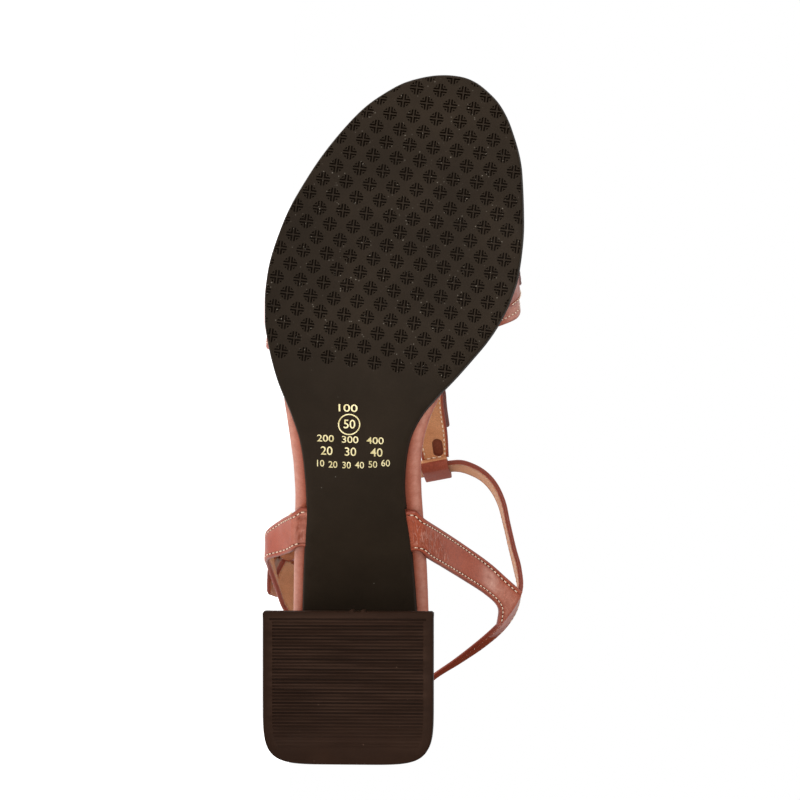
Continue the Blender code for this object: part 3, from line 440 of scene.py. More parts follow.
def slab(outline, grooves, extra, low, depth, rims, high, inner_high):
    """A sole piece.  outline is the plan of its lower face, grooves are plans cut into that face, extra are more points of it.
    low gives the lower face's height at points, depth how far it is cut back there, rims the edge rings from the lower face up
    as (outset, height), high the upper face, and inner_high points of the upper face."""
    plan = [np.asarray(outline)] + [np.asarray(g) for g in grooves]
    verts, edges = [], []
    for p in plan:
        n = len(verts)
        verts += clean_plan(p)
        edges += [(n + i, n + (i + 1) % len(p)) for i in range(len(p))]
    verts += clean_plan(extra)
    out, sides, faces, _, came, _ = delaunay_2d_cdt(verts, edges, [], 0, 1e-5)
    flat = np.array([tuple(v) for v in out])
    faces = within(flat, faces, sides, came, len(plan[0]))
    used = np.unique(faces)
    index = -np.ones(len(flat), int)
    index[used] = np.arange(len(used))
    flat, faces = flat[used], index[faces]
    deep = depth(flat)
    points = [np.column_stack([flat, low(flat) + deep])]
    made = [tuple(f[::-1]) for f in faces]
    # the edge of the lower face, in order
    pairs = np.sort(np.vstack([faces[:, [0, 1]], faces[:, [1, 2]], faces[:, [2, 0]]]), axis=1)
    unique, count = np.unique(pairs, axis=0, return_counts=True)
    following = {}
    for a, b in unique[count == 1]:
        following.setdefault(int(a), []).append(int(b))
        following.setdefault(int(b), []).append(int(a))
    start = min(following)
    loop, last, at = [start], None, start
    while True:
        step = [v for v in following[at] if v != last]
        last, at = at, step[0]
        if at == start:
            break
        loop.append(at)
    edge = flat[loop]
    outward = outward_along(edge, np.asarray(outline))
    total, before = len(flat), np.array(loop)
    for outset, height in rims:
        ring = edge + outward * outset
        points.append(np.column_stack([ring, height(ring, deep[loop])]))
        now = np.arange(total, total + len(ring))
        made += [(before[i], before[(i + 1) % len(ring)], now[(i + 1) % len(ring)], now[i]) for i in range(len(ring))]
        total, before = total + len(ring), now
    # the upper face
    inner = np.asarray(inner_high)
    inner = inner[in_plan(inner, edge)]
    verts = clean_plan(ring) + clean_plan(inner)
    n = len(ring)
    out, sides, faces, source, came, _ = delaunay_2d_cdt(verts, [(i, (i + 1) % n) for i in range(n)], [], 0, 1e-7)
    flat_high = np.array([tuple(v) for v in out])
    name = []
    fresh = []
    for i, s in enumerate(source):
        first = min(s) if s else None
        if first is not None and first < n:
            name.append(int(before[first]))
        else:
            name.append(total + len(fresh))
            fresh.append(flat_high[i])
    faces = within(flat_high, faces, sides, came, n)
    made += [tuple(name[i] for i in f) for f in faces]
    if fresh:
        fresh = np.array(fresh)
        points.append(np.column_stack([fresh, high(fresh)]))
    deep_all = np.zeros(sum(len(p) for p in points))
    deep_all[:len(deep)] = deep
    return np.vstack(points), made, deep_all


def lattice(low, high, step):
    x, y = np.meshgrid(np.arange(low[0], high[0], step), np.arange(low[1], high[1], step), indexing="ij")
    y[1::2] += step / 2
    return np.column_stack([x.ravel(), y.ravel()])


def away_from(points, plan, distance):
    """Points inside a plan and at least a distance from its edge."""
    points = points[in_plan(points, plan)]
    tree = KDTree(len(plan))
    for i, p in enumerate(plan):
        tree.insert((p[0], p[1], 0), i)
    tree.balance()
    return points[[tree.find((p[0], p[1], 0))[2] > distance for p in points]]


def loft_rings(rings, heights, caps, columns):
    """Closed solid through a stack of plans, with caps that are grids across."""
    points, made, loops, total = [], [], [], 0
    for ring, height in zip(rings, heights):
        p = ring_points(ring)
        points.append(np.column_stack([p, height(p)]))
        loops.append(list(range(total, total + len(p))))
        total += len(p)
    layer = []
    for level, (low, high) in enumerate(zip(loops, loops[1:])):
        for i in range(len(low)):
            j = (i + 1) % len(low)
            made.append((low[i], low[j], high[j], high[i]))
            layer.append(level)
    for ring, loop, height, mark in ((rings[0], loops[0], caps[0], -1), (rings[-1], loops[-1], caps[1], len(rings))):
        nose, lat, tail, med = ring_split(ring, loop)
        rows = []
        for k, (a, b, p, q) in enumerate(zip(lat, med, ring["lat"], ring["med"])):
            row = [a]
            if k == 0 and len(nose) > 1:
                row += list(nose[::-1])
            elif k == len(lat) - 1 and len(tail) > 1:
                row += list(tail)
            else:
                s = np.arange(1, columns) / columns
                xy = p + (q - p) * s[:, None]
                points.append(np.column_stack([xy, height(xy, s)]))
                row += list(range(total, total + columns - 1))
                total += columns - 1
            rows.append(row + [b])
        for r, s in zip(rows, rows[1:]):
            for c in range(columns):
                made.append((r[c], r[c + 1], s[c + 1], s[c]))
                layer.append(mark)
        for tip, row in ((nose, rows[0]), (tail, rows[-1])):
            if len(tip) == 1:
                for c in range(columns):
                    made.append((tip[0], row[c], row[c + 1]))
                    layer.append(mark)
    return np.vstack(points), made, np.array(layer)


def bulge(s):
    return 4 * s * (1 - s)


# ---------------------------------------------------------------- materials
def node(tree, kind, inputs=None, **settings):
    made = tree.nodes.new(kind)
    for key, value in settings.items():
        setattr(made, key, value)
    for key, value in (inputs or {}).items():
        socket = made.inputs[key]
        if isinstance(value, bpy.types.NodeSocket):
            tree.links.new(value, socket)
        else:
            socket.default_value = value
    return made


def start_material(name, **sockets):
    made = bpy.data.materials.new(name)
    made.use_nodes = True
    tree = made.node_tree
    shader = tree.nodes["Principled BSDF"]
    for key, value in sockets.items():
        shader.inputs[key.replace("_", " ")].default_value = value
    MATERIAL[name] = made
    return tree, shader


def ramp(tree, source, stops):
    made = node(tree, "ShaderNodeValToRGB", {"Fac": source})
    bar = made.color_ramp
    while len(bar.elements) > 1:
        bar.elements.remove(bar.elements[-1])
    bar.elements[0].position = stops[0][0]
    bar.elements[0].color = (*stops[0][1], 1.0)
    for at, colour in stops[1:]:
        bar.elements.new(at).color = (*colour, 1.0)
    return made.outputs["Color"]


def grey(v):
    return (v, v, v)


def mix(tree, factor, a, b, kind="MIX"):
    made = node(tree, "ShaderNodeMix", data_type="RGBA", blend_type=kind)
    for key, value in ((0, factor), (6, a), (7, b)):
        if isinstance(value, bpy.types.NodeSocket):
            tree.links.new(value, made.inputs[key])
        else:
            made.inputs[key].default_value = value if key == 0 else (*value, 1.0)
    return made.outputs[2]


def maths(tree, kind, a, b=0.0, clamp=False):
    made = node(tree, "ShaderNodeMath", {0: a, 1: b}, operation=kind, use_clamp=clamp)
    return made.outputs[0]


def number(tree, name):
    return node(tree, "ShaderNodeAttribute", attribute_name=name, attribute_type="GEOMETRY").outputs["Fac"]


def rubber_material(name, colour, dark, rough, streak=None):
    tree, shader = start_material(name)
    shader.inputs["Specular IOR Level"].default_value = 0.035
    where = node(tree, "ShaderNodeTexCoord").outputs["Object"]
    cloud = node(tree, "ShaderNodeTexNoise", {"Vector": where, "Scale": 42.0, "Detail": 4.0, "Roughness": 0.6}).outputs["Fac"]
    fine = node(tree, "ShaderNodeTexNoise", {"Vector": where, "Scale": 2600.0, "Detail": 3.0, "Roughness": 0.6}).outputs["Fac"]
    body = ramp(tree, cloud, ((0.28, tuple(c * 0.84 for c in colour)), (0.5, colour), (0.74, tuple(c * 1.22 for c in colour))))
    body = mix(tree, 0.35, body, ramp(tree, fine, ((0.3, grey(0.6)), (0.7, grey(1.0)))), "MULTIPLY")
    # painted shade: groove floors are mixed towards the dark colour by their depth
    deep = node(tree, "ShaderNodeMapRange", {"Value": number(tree, "deep"), "From Min": 0.05, "From Max": 0.45}).outputs["Result"]
    body = mix(tree, deep, body, dark)
    if streak:
        # painted highlights: paler lines along the rib tops, in streaks
        drawn = node(tree, "ShaderNodeMapping", {"Vector": where, "Scale": streak}).outputs["Vector"]
        lines = node(tree, "ShaderNodeTexNoise", {"Vector": drawn, "Scale": 1.0, "Detail": 2.0, "Roughness": 0.5}).outputs["Fac"]
        lines = maths(tree, "MULTIPLY", ramp(tree, lines, ((0.40, grey(0.08)), (0.62, grey(0.80)))), number(tree, "ribs"))
        lines = maths(tree, "MULTIPLY", lines, maths(tree, "SUBTRACT", 1.0, deep))
        body = mix(tree, lines, body, tuple(c * k for c, k in zip(colour, (1.75, 1.95, 2.2))))
    # fine pale dust that has caught on the high spots
    dust = node(tree, "ShaderNodeTexVoronoi", {"Vector": where, "Scale": 330.0}, feature="F1").outputs["Distance"]
    dust = ramp(tree, dust, ((0.05, grey(1.0)), (0.075, grey(0.0))))
    few = node(tree, "ShaderNodeTexNoise", {"Vector": where, "Scale": 230.0, "Detail": 1.0}).outputs["Fac"]
    dust = maths(tree, "MULTIPLY", dust, ramp(tree, few, ((0.60, grey(0.0)), (0.66, grey(1.0)))))
    body = mix(tree, dust, body, tuple(min(1.0, c * k) for c, k in zip(colour, (5.0, 6.6, 8.2))))
    # grit and a little wear in and between the grooves of the tread
    grit = node(tree, "ShaderNodeTexVoronoi", {"Vector": where, "Scale": 760.0}, feature="F1").outputs["Distance"]
    grit = ramp(tree, grit, ((0.10, grey(0.9)), (0.20, grey(0.0))))
    some = node(tree, "ShaderNodeTexNoise", {"Vector": where, "Scale": 310.0, "Detail": 2.0}).outputs["Fac"]
    grit = maths(tree, "MULTIPLY", grit, ramp(tree, some, ((0.53, grey(0.0)), (0.60, grey(1.0)))))
    grit = maths(tree, "MULTIPLY", grit, number(tree, "motif"))
    body = mix(tree, grit, body, tuple(min(1.0, c * f) for c, f in zip(colour, (7.0, 8.8, 11.0))))
    tree.links.new(body, shader.inputs["Base Color"])
    rub = node(tree, "ShaderNodeTexNoise", {"Vector": where, "Scale": 150.0, "Detail": 5.0, "Roughness": 0.65}).outputs["Fac"]
    tree.links.new(ramp(tree, rub, ((0.3, grey(rough - 0.07)), (0.7, grey(rough + 0.09)))), shader.inputs["Roughness"])
    height = maths(tree, "ADD", maths(tree, "MULTIPLY", fine, 0.35), maths(tree, "MULTIPLY", rub, 0.65))
    bump = node(tree, "ShaderNodeBump", {"Height": height, "Strength": 0.35, "Distance": 0.00012})
    tree.links.new(bump.outputs["Normal"], shader.inputs["Normal"])


def leather_material(name, colour, pale, dark, rough=0.4, grain=900.0, lift=0.5, coat=0.12, edge=None, spread=55.0, highlight_colour=(0.58, 0.31, 0.24), shine=0.2):
    """Smooth tanned leather: cloudy colour, pores and fine creases, darker at its cut edges, with painted shade in its
    folds and painted highlights where it is marked pale.
    """
    tree, shader = start_material(name)
    shader.inputs["Coat Roughness"].default_value = 0.13
    where = node(tree, "ShaderNodeTexCoord").outputs["Object"]
    cloud = node(tree, "ShaderNodeTexNoise", {"Vector": where, "Scale": spread, "Detail": 5.0, "Roughness": 0.62, "Distortion": 0.4}).outputs["Fac"]
    streak = node(tree, "ShaderNodeTexNoise", {"Vector": where, "Scale": 420.0, "Detail": 4.0, "Roughness": 0.7}).outputs["Fac"]
    body = ramp(tree, cloud, ((0.27, dark), (0.5, colour), (0.75, pale)))
    body = mix(tree, 0.5, body, ramp(tree, streak, ((0.3, grey(0.80)), (0.62, grey(1.0)))), "MULTIPLY")
    cell = node(tree, "ShaderNodeTexVoronoi", {"Vector": where, "Scale": grain, "Randomness": 1.0}, feature="DISTANCE_TO_EDGE").outputs["Distance"]
    pores = node(tree, "ShaderNodeTexNoise", {"Vector": where, "Scale": grain * 2.6, "Detail": 4.0, "Roughness": 0.65}).outputs["Fac"]
    cells = ramp(tree, cell, ((0.0, grey(0.0)), (0.09, grey(0.75)), (0.3, grey(1.0))))
    body = mix(tree, 0.22, body, cells, "MULTIPLY")
    # gathered skin: short creases across the strap where it is pulled round the sole, with a painted highlight on their
    # ridges and painted shade in their valleys
    sheet = node(tree, "ShaderNodeAttribute", attribute_name="sheet", attribute_type="GEOMETRY").outputs["Vector"]
    stretch = node(tree, "ShaderNodeMapping", {"Vector": sheet, "Scale": (0.85, 0.20, 1.0), "Rotation": (0.0, 0.0, 0.30)}).outputs["Vector"]
    crease = node(tree, "ShaderNodeTexNoise", {"Vector": stretch, "Scale": 1.0, "Detail": 2.0, "Roughness": 0.5, "Distortion": 0.7}).outputs["Fac"]
    gather = number(tree, "gather")
    ridge = maths(tree, "MULTIPLY", ramp(tree, crease, ((0.450, grey(0.0)), (0.490, grey(1.0)), (0.505, grey(1.0)), (0.540, grey(0.0)))), gather)
    valley = maths(tree, "MULTIPLY", ramp(tree, crease, ((0.530, grey(0.0)), (0.565, grey(1.0)), (0.61, grey(0.0)))), gather)
    body = mix(tree, maths(tree, "MULTIPLY", ridge, 0.55, clamp=True), body, highlight_colour)
    body = mix(tree, maths(tree, "MULTIPLY", valley, 0.45, clamp=True), body, (dark[0] * 0.6, dark[1] * 0.45, dark[2] * 0.42))
    # painted highlight: where pale is marked the colour is mixed towards the highlight colour
    body = mix(tree, maths(tree, "MULTIPLY", number(tree, "pale"), streak, clamp=True), body, highlight_colour)
    if edge:
        body = mix(tree, number(tree, "edge"), body, edge)
    # painted shade: where fold is marked the colour is darkened
    fold = number(tree, "fold")
    body = mix(tree, maths(tree, "MULTIPLY", fold, 0.9, clamp=True), body, (dark[0] * 0.42, dark[1] * 0.40, dark[2] * 0.42))
    tree.links.new(body, shader.inputs["Base Color"])
    dull = maths(tree, "SUBTRACT", 1.0, maths(tree, "ADD", maths(tree, "MULTIPLY", fold, 1.5), maths(tree, "MULTIPLY", gather, 0.5)), clamp=True)
    tree.links.new(maths(tree, "MULTIPLY", dull, coat), shader.inputs["Coat Weight"])
    tree.links.new(maths(tree, "MULTIPLY", dull, shine), shader.inputs["Specular IOR Level"])
    wear = node(tree, "ShaderNodeTexNoise", {"Vector": where, "Scale": 210.0, "Detail": 4.0, "Roughness": 0.6}).outputs["Fac"]
    tree.links.new(ramp(tree, wear, ((0.3, grey(rough - 0.08)), (0.72, grey(rough + 0.12)))), shader.inputs["Roughness"])
    skin = maths(tree, "ADD", maths(tree, "MULTIPLY", cells, 0.7), maths(tree, "MULTIPLY", pores, 0.5))
    bump = node(tree, "ShaderNodeBump", {"Height": skin, "Strength": lift, "Distance": 0.00010})
    folds = node(tree, "ShaderNodeBump", {"Height": maths(tree, "SUBTRACT", ridge, valley), "Strength": 0.6, "Distance": 0.00012, "Normal": bump.outputs["Normal"]})
    tree.links.new(folds.outputs["Normal"], shader.inputs["Normal"])


def thread_material(name, colour):
    tree, shader = start_material(name, Roughness=0.62)
    shader.inputs["Sheen Weight"].default_value = 0.25
    where = node(tree, "ShaderNodeTexCoord").outputs["Object"]
    twist = node(tree, "ShaderNodeTexWave", {"Vector": where, "Scale": 900.0, "Distortion": 1.5, "Detail": 2.0}, bands_direction="DIAGONAL").outputs["Fac"]
    hair = node(tree, "ShaderNodeTexNoise", {"Vector": where, "Scale": 700.0, "Detail": 3.0}).outputs["Fac"]
    body = mix(tree, 0.6, ramp(tree, hair, ((0.3, tuple(c * 0.72 for c in colour)), (0.65, colour))), ramp(tree, twist, ((0.2, grey(0.7)), (0.6, grey(1.0)))), "MULTIPLY")
    tree.links.new(body, shader.inputs["Base Color"])
    bump = node(tree, "ShaderNodeBump", {"Height": twist, "Strength": 0.5, "Distance": 0.00008})
    tree.links.new(bump.outputs["Normal"], shader.inputs["Normal"])


def metal_material(name, colour, rough, tint):
    tree, shader = start_material(name, Metallic=1.0)
    where = node(tree, "ShaderNodeTexCoord").outputs["Object"]
    cloud = node(tree, "ShaderNodeTexNoise", {"Vector": where, "Scale": 260.0, "Detail": 5.0, "Roughness": 0.6}).outputs["Fac"]
    tree.links.new(ramp(tree, cloud, ((0.3, tint), (0.6, colour))), shader.inputs["Base Color"])
    tree.links.new(ramp(tree, cloud, ((0.3, grey(rough + 0.16)), (0.7, grey(rough)))), shader.inputs["Roughness"])
    scratch = node(tree, "ShaderNodeTexNoise", {"Vector": where, "Scale": 1900.0, "Detail": 2.0}).outputs["Fac"]
    bump = node(tree, "ShaderNodeBump", {"Height": scratch, "Strength": 0.12, "Distance": 0.00005})
    tree.links.new(bump.outputs["Normal"], shader.inputs["Normal"])


rubber_material("outsole_rubber", (0.0208, 0.0143, 0.0092), (0.0064, 0.0026, 0.0004), 0.48)
rubber_material("toplift_rubber", (0.0194, 0.0087, 0.0048), (0.0104, 0.0048, 0.0028), 0.50, streak=(420.0, 300.0, 24.0))
leather_material("heel_cover", (0.040, 0.026, 0.0255), (0.055, 0.038, 0.036), (0.027, 0.017, 0.0165), rough=0.42, grain=700.0, lift=0.35, coat=0.08)
leather_material("footbed_leather", (0.345, 0.084, 0.043), (0.395, 0.110, 0.061), (0.270, 0.058, 0.028), rough=0.40, grain=1100.0, lift=0.16, coat=0.30)
leather_material("strap_leather", (0.340, 0.072, 0.035), (0.390, 0.096, 0.051), (0.260, 0.047, 0.022), rough=0.42, grain=1000.0, lift=0.20, coat=0.14, edge=(0.150, 0.030, 0.018), shine=0.16)
leather_material("loop_leather", (0.280, 0.068, 0.040), (0.315, 0.086, 0.052), (0.220, 0.048, 0.028), rough=0.50, grain=1000.0, lift=0.20, coat=0.0, shine=0.06)
leather_material("lining_leather", (0.560, 0.260, 0.122), (0.620, 0.310, 0.155), (0.480, 0.205, 0.090), rough=0.52, grain=1300.0, lift=0.30, coat=0.0, edge=(0.300, 0.110, 0.055), spread=80.0)
leather_material("sock_leather", (0.470, 0.230, 0.118), (0.525, 0.275, 0.150), (0.400, 0.180, 0.085), rough=0.50, grain=1200.0, lift=0.30, coat=0.0, spread=45.0)
leather_material("overlay_leather", (0.205, 0.098, 0.088), (0.245, 0.125, 0.112), (0.152, 0.069, 0.061), rough=0.42, grain=900.0, lift=0.30, coat=0.1, edge=(0.205, 0.092, 0.080))
# needle_dark: painted shade of the needle holes
leather_material("needle_dark", (0.082, 0.024, 0.015), (0.105, 0.032, 0.020), (0.060, 0.018, 0.011), rough=0.6, grain=1200.0, lift=0.2, coat=0.0, shine=0.03)
# a darker copy of the lining: painted shade on the ends of the buckle's tab loops
leather_material("tab_lining_shaded", (0.370, 0.150, 0.078), (0.420, 0.180, 0.098), (0.310, 0.120, 0.060), rough=0.52, grain=1300.0, lift=0.30, coat=0.0, spread=80.0, shine=0.06)
# slot_leather: the strap leather darker, painted shade inside the T-bar's slot
leather_material("slot_leather", (0.200, 0.052, 0.026), (0.240, 0.070, 0.036), (0.140, 0.034, 0.017), rough=0.5, grain=1200.0, lift=0.25, coat=0.0)
thread_material("thread_cream", (0.86, 0.68, 0.50))
thread_material("thread_tan", (0.52, 0.29, 0.16))
metal_material("buckle_metal", (0.72, 0.55, 0.33), 0.22, (0.50, 0.36, 0.20))
metal_material("gold_foil", (0.87, 0.76, 0.44), 0.34, (0.58, 0.49, 0.23))


# ---------------------------------------------------------------- outsole with its tread
TREAD_AT = (60.9, 4.48)              # one motif of the tread
TREAD_A = (-0.976, 7.91)             # to the next one in its row
TREAD_B = (-4.444, -4.478)           # and to the next row
TREAD_DEEP = 0.75
WALL = 0.07                          # how far a groove's walls lean in
CROSS = (0.23, 0.77, 2.42, 2.20)     # first angle: near side, far side, reach of the near and far side
CORNER = (1.14, 1.50, 1.92, 1.66)    # second angle inside it
TREAD_END = 9.2                      # where the tread ends at the middle, and how it slants
TREAD_SLANT = -0.08


def tread_axes():
    a = unit(TREAD_A)
    return a, np.array([a[1], -a[0]])


def angle_plan(size, inset):
    near, far, reach, far_reach = size
    g = inset
    return np.array([(near + g, near + g), (reach - g, near + g), (far_reach - g, far - g), (far - g, far - g), (far - g, far_reach - g), (near + g, reach - g)])


def tread_centres(outline):
    centres = []
    for i in range(-14, 15):
        for j in range(-26, 27):
            p = np.array(TREAD_AT) + i * np.array(TREAD_A) + j * np.array(TREAD_B)
            end = TREAD_END + TREAD_SLANT * p[1]
            if end < p[0] < TOE_X + 4:
                centres.append(p)
    centres = np.array(centres)
    tree = KDTree(len(outline))
    for k, p in enumerate(outline):
        tree.insert((p[0], p[1], 0), k)
    tree.balance()
    near = np.array([tree.find((p[0], p[1], 0))[2] for p in centres])
    return centres[in_plan(centres, outline) | (near < 2.3)]


def tread_local(points, centres):
    tree = KDTree(len(centres))
    for k, p in enumerate(centres):
        tree.insert((p[0], p[1], 0), k)
    tree.balance()
    near = np.array([tree.find((p[0], p[1], 0))[1] for p in points])
    along, across = tread_axes()
    d = points - centres[near]
    return np.abs(d @ along), np.abs(d @ across)


def crown(points):
    """Height that the waist's underside is rounded down by."""
    x = points[:, 0]
    lat, med = outsole_edges(np.clip(x, OUTSOLE_TAIL_X, None))
    s = np.clip((points[:, 1] - lat) / (med - lat), 0, 1)
    return -WAIST_CROWN * bulge(s) * np.clip((-2 - x) / 22, 0, 1) * np.clip((x + 84) / 16, 0, 1)


def wrap_rows(x, side, rake=0.0):
    """Strap mid-line from between the soles at x, out under the footbed's edge and round it."""
    r, rows = INSOLE_T / 2, []
    for tuck, turn in ((LASTING, -90), (LASTING / 2, -90), (0.0, -90), (0.0, -52), (0.0, -18)):
        a = math.radians(turn)
        at = x + rake * math.cos(a) / math.cos(math.radians(18))
        out = (INSOLE_ROLL + STRAP_OFF) * math.cos(a) - INSOLE_ROLL - tuck
        rows.append((at, footbed_edge(at, side) + side * out, float(footbed_base(at)) + r + (r + STRAP_OFF) * math.sin(a)))
    return rows


def pocket(name, x_ends, side):
    """The space in the outsole for a strap's turned-in end."""
    lines = []
    for x in np.linspace(x_ends[0] + 2 * GAP, x_ends[1] - 2 * GAP, 25):
        rows = np.array(wrap_rows(x, side)[:3])
        rows[0, 1] -= side * GAP
        rows[2, 1] += side * 4.0
        lines.append(rows)
    grid = np.stack([spline(line, np.linspace(0, 2, 9)) for line in lines], 1)
    half = STRAP_T / 2 + GAP
    n, m = grid.shape[:2]
    points = np.vstack([(grid - (0, 0, half)).reshape(-1, 3), (grid + (0, 0, half)).reshape(-1, 3)])
    at = lambda i, j, k: k * n * m + i * m + j
    faces = []
    for i in range(n - 1):
        for j in range(m - 1):
            for k in (0, 1):
                faces.append((at(i, j, k), at(i + 1, j, k), at(i + 1, j + 1, k), at(i, j + 1, k)))
    rim = [(i, 0) for i in range(n)] + [(n - 1, j) for j in range(1, m)] + [(i, m - 1) for i in range(n - 2, -1, -1)] + [(0, j) for j in range(m - 2, 0, -1)]
    for (i, j), (k, l) in zip(rim, rim[1:] + rim[:1]):
        faces.append((at(i, j, 0), at(k, l, 0), at(k, l, 1), at(i, j, 1)))
    return make_object(name, points, faces, ["outsole_rubber"])


def build_outsole():
    ring = ring_points(outsole_ring(220))
    outline = even_loop(ring + inward_of(ring) * 0.5, 0.9)
    centres = tread_centres(outline)
    along, across = tread_axes()
    grooves = []
    for c in centres:
        for sa in (-1, 1):
            for sb in (-1, 1):
                for size in (CROSS, CORNER):
                    for inset in (0.0, WALL):
                        q = angle_plan(size, inset)
                        grooves.append(c + q[:, :1] * sa * along + q[:, 1:] * sb * across)
    extra = away_from(lattice((-84, -48), (112, 44), 2.6), outline, 1.0)
    p, q = tread_local(extra, centres)
    extra = extra[np.hypot(p, q) > 2.75]

    def depth(points):
        p, q = tread_local(points, centres)
        low, far = np.minimum(p, q), np.maximum(p, q)
        deep = np.zeros(len(points))
        for (a, b, r, s), share in ((CROSS, 1.0), (CORNER, 0.9)):
            reach = (r - WALL) + (s - r) * np.clip((low - a) / (b - a), 0, 1)
            inside = (low > a + WALL - 0.02) & (low < b - WALL + 0.02) & (far < reach + 0.03)
            deep[inside] = TREAD_DEEP * share
        return deep

    low = lambda p: under(p[:, 0]) + crown(p)
    rims = (
        (0.15, lambda p, d: under(p[:, 0]) + crown(p) * 0.6 + np.maximum(0.06, d * 0.8)),
        (0.36, lambda p, d: under(p[:, 0]) + np.maximum(0.2, d * 0.85)),
        (0.5, lambda p, d: under(p[:, 0]) + np.maximum(0.5, d + 0.1)),
        (0.5 + EDGE_FLARE * 0.5, lambda p, d: under(p[:, 0]) + (0.5 + outsole_thick(p[:, 0])) / 2),
        (0.5 + EDGE_FLARE * 0.85, lambda p, d: under(p[:, 0]) + outsole_thick(p[:, 0]) - 0.25),
        (0.5 + EDGE_FLARE * 0.55, lambda p, d: under(p[:, 0]) + outsole_thick(p[:, 0])),
    )
    high = lambda p: under(p[:, 0]) + outsole_thick(p[:, 0])
    points, faces, deep = slab(outline, grooves, extra, low, depth, rims, high, lattice((-86, -48), (112, 44), 4.0))
    p, q = tread_local(points[:, :2], centres)
    motif = (1 - ease(np.hypot(p, q), 2.2, 3.0)) * (points[:, 2] < under(points[:, 0]) + 1.2)
    obj = make_object("outsole_rubber_sole", points, faces, ["outsole_rubber"], sharp=32.0, numbers={"deep": deep, "motif": motif}, slot="outsole_rubber")
    for k, (x_ends, side) in enumerate(((OUTER_QUARTER_X, -1), (INNER_QUARTER_X, 1), (VAMP_OUTER_X, -1), (VAMP_INNER_X, 1))):
        cut(obj, pocket(f"pocket_{k}", x_ends, side))
    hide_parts("outsole")
    return obj


# ---------------------------------------------------------------- footbed, its sock and the heel
LOWER_ROLL = 5.4


def build_footbed():
    turns = (-90, -85, -80, -75, -70, -65, -60, -54, -48, -41, -34, -27, -20, -13, -6, 2, 12, 22, 29, 33, 36, 38, 40, 43, 47, 54, 64, 77, 90)
    rings, heights = [], []
    for turn in turns:
        a = math.radians(turn)
        seam = 0.26 * bell(turn, 38.0, 4.2)
        c, s = math.cos(a), math.sin(a)
        rings.append(ring_inset(FOOTBED, (INSOLE_ROLL if turn > 0 else LOWER_ROLL) * (1 - c) + seam * c))
        h = INSOLE_T / 2 * (1 + s) - seam * s
        heights.append(lambda p, h=h: footbed_base(p[:, 0]) + h)
    columns = 26
    caps = (lambda p, s: footbed_base(p[:, 0]), lambda p, s: footbed_base(p[:, 0]) + INSOLE_T - INSOLE_DISH * bulge(s))
    points, faces, layer = loft_rings(rings, heights, caps, columns)
    count = len(ring_points(FOOTBED))
    fold, pale = np.zeros(len(points)), np.zeros(len(points))
    edge = ring_points(FOOTBED)
    inner_side = edge[:, 1] > (footbed_edge(edge[:, 0], -1) + footbed_edge(edge[:, 0], 1)) / 2
    # painted shade along the cover's seam groove and on the roll's lower part next to the sole; painted highlight as a
    # pale band across the roll, placed differently on the inner and outer sides
    for k, turn in enumerate(turns):
        fold[k * count:(k + 1) * count] = bell(turn, 38.0, 2.5) * 0.75 + np.where(inner_side, 0.5 * (1 - ease(turn, -84.0, -66.0)), 0.4 * (1 - ease(turn, -76.0, -58.0)))
        pale[k * count:(k + 1) * count] = np.where(inner_side, 0.85 * bell(turn, -46.0, 22.0), 1.0 * bell(turn, -26.0, 26.0))
    obj = make_object("footbed_wrap", points, faces, ["footbed_leather"], sharp=60.0, numbers={"fold": fold, "pale": pale}, slot="footbed_leather")
    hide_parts("footbed")
    return obj


SOCK_IN = 3.4
SOCK_T = 0.7


def sock_height(p):
    """Top of the footbed at points."""
    lat, med = footbed_edge(p[:, 0], -1) + INSOLE_ROLL, footbed_edge(p[:, 0], 1) - INSOLE_ROLL
    s = np.clip((p[:, 1] - lat) / np.maximum(med - lat, 1e-6), 0, 1)
    return footbed_base(p[:, 0]) + INSOLE_T - INSOLE_DISH * bulge(s)


def build_sock():
    """Lining leather laid on the footbed, with a stitched border."""
    rings = []
    steps = ((0.0, 0.02), (-0.25, 0.2), (-0.3, 0.4), (-0.15, 0.62), (0.25, SOCK_T), (1.3, SOCK_T), (1.75, SOCK_T - 0.14), (2.0, SOCK_T - 0.22), (2.25, SOCK_T - 0.14), (2.8, SOCK_T))
    heights = []
    for inset, h in steps:
        rings.append(ring_inset(FOOTBED, SOCK_IN + inset))
        heights.append(lambda p, h=h: sock_height(p) + h)
    columns = 30
    caps = (lambda p, s: sock_height(p) + 0.02, lambda p, s: sock_height(p) + SOCK_T)
    points, faces, layer = loft_rings(rings, heights, caps, columns)
    obj = make_object("sock_lining", points, faces, ["sock_leather"], sharp=60.0, slot="footbed_leather")
    line = ring_points(ring_inset(FOOTBED, SOCK_IN + 2.0))
    line = even_loop(line, 0.7)
    path = np.column_stack([line, sock_height(line) + SOCK_T - 0.20])
    path = np.vstack([path, path[:1]])
    normal = np.tile((0.0, 0.0, 1.0), (len(path), 1))
    return obj, (path, normal)


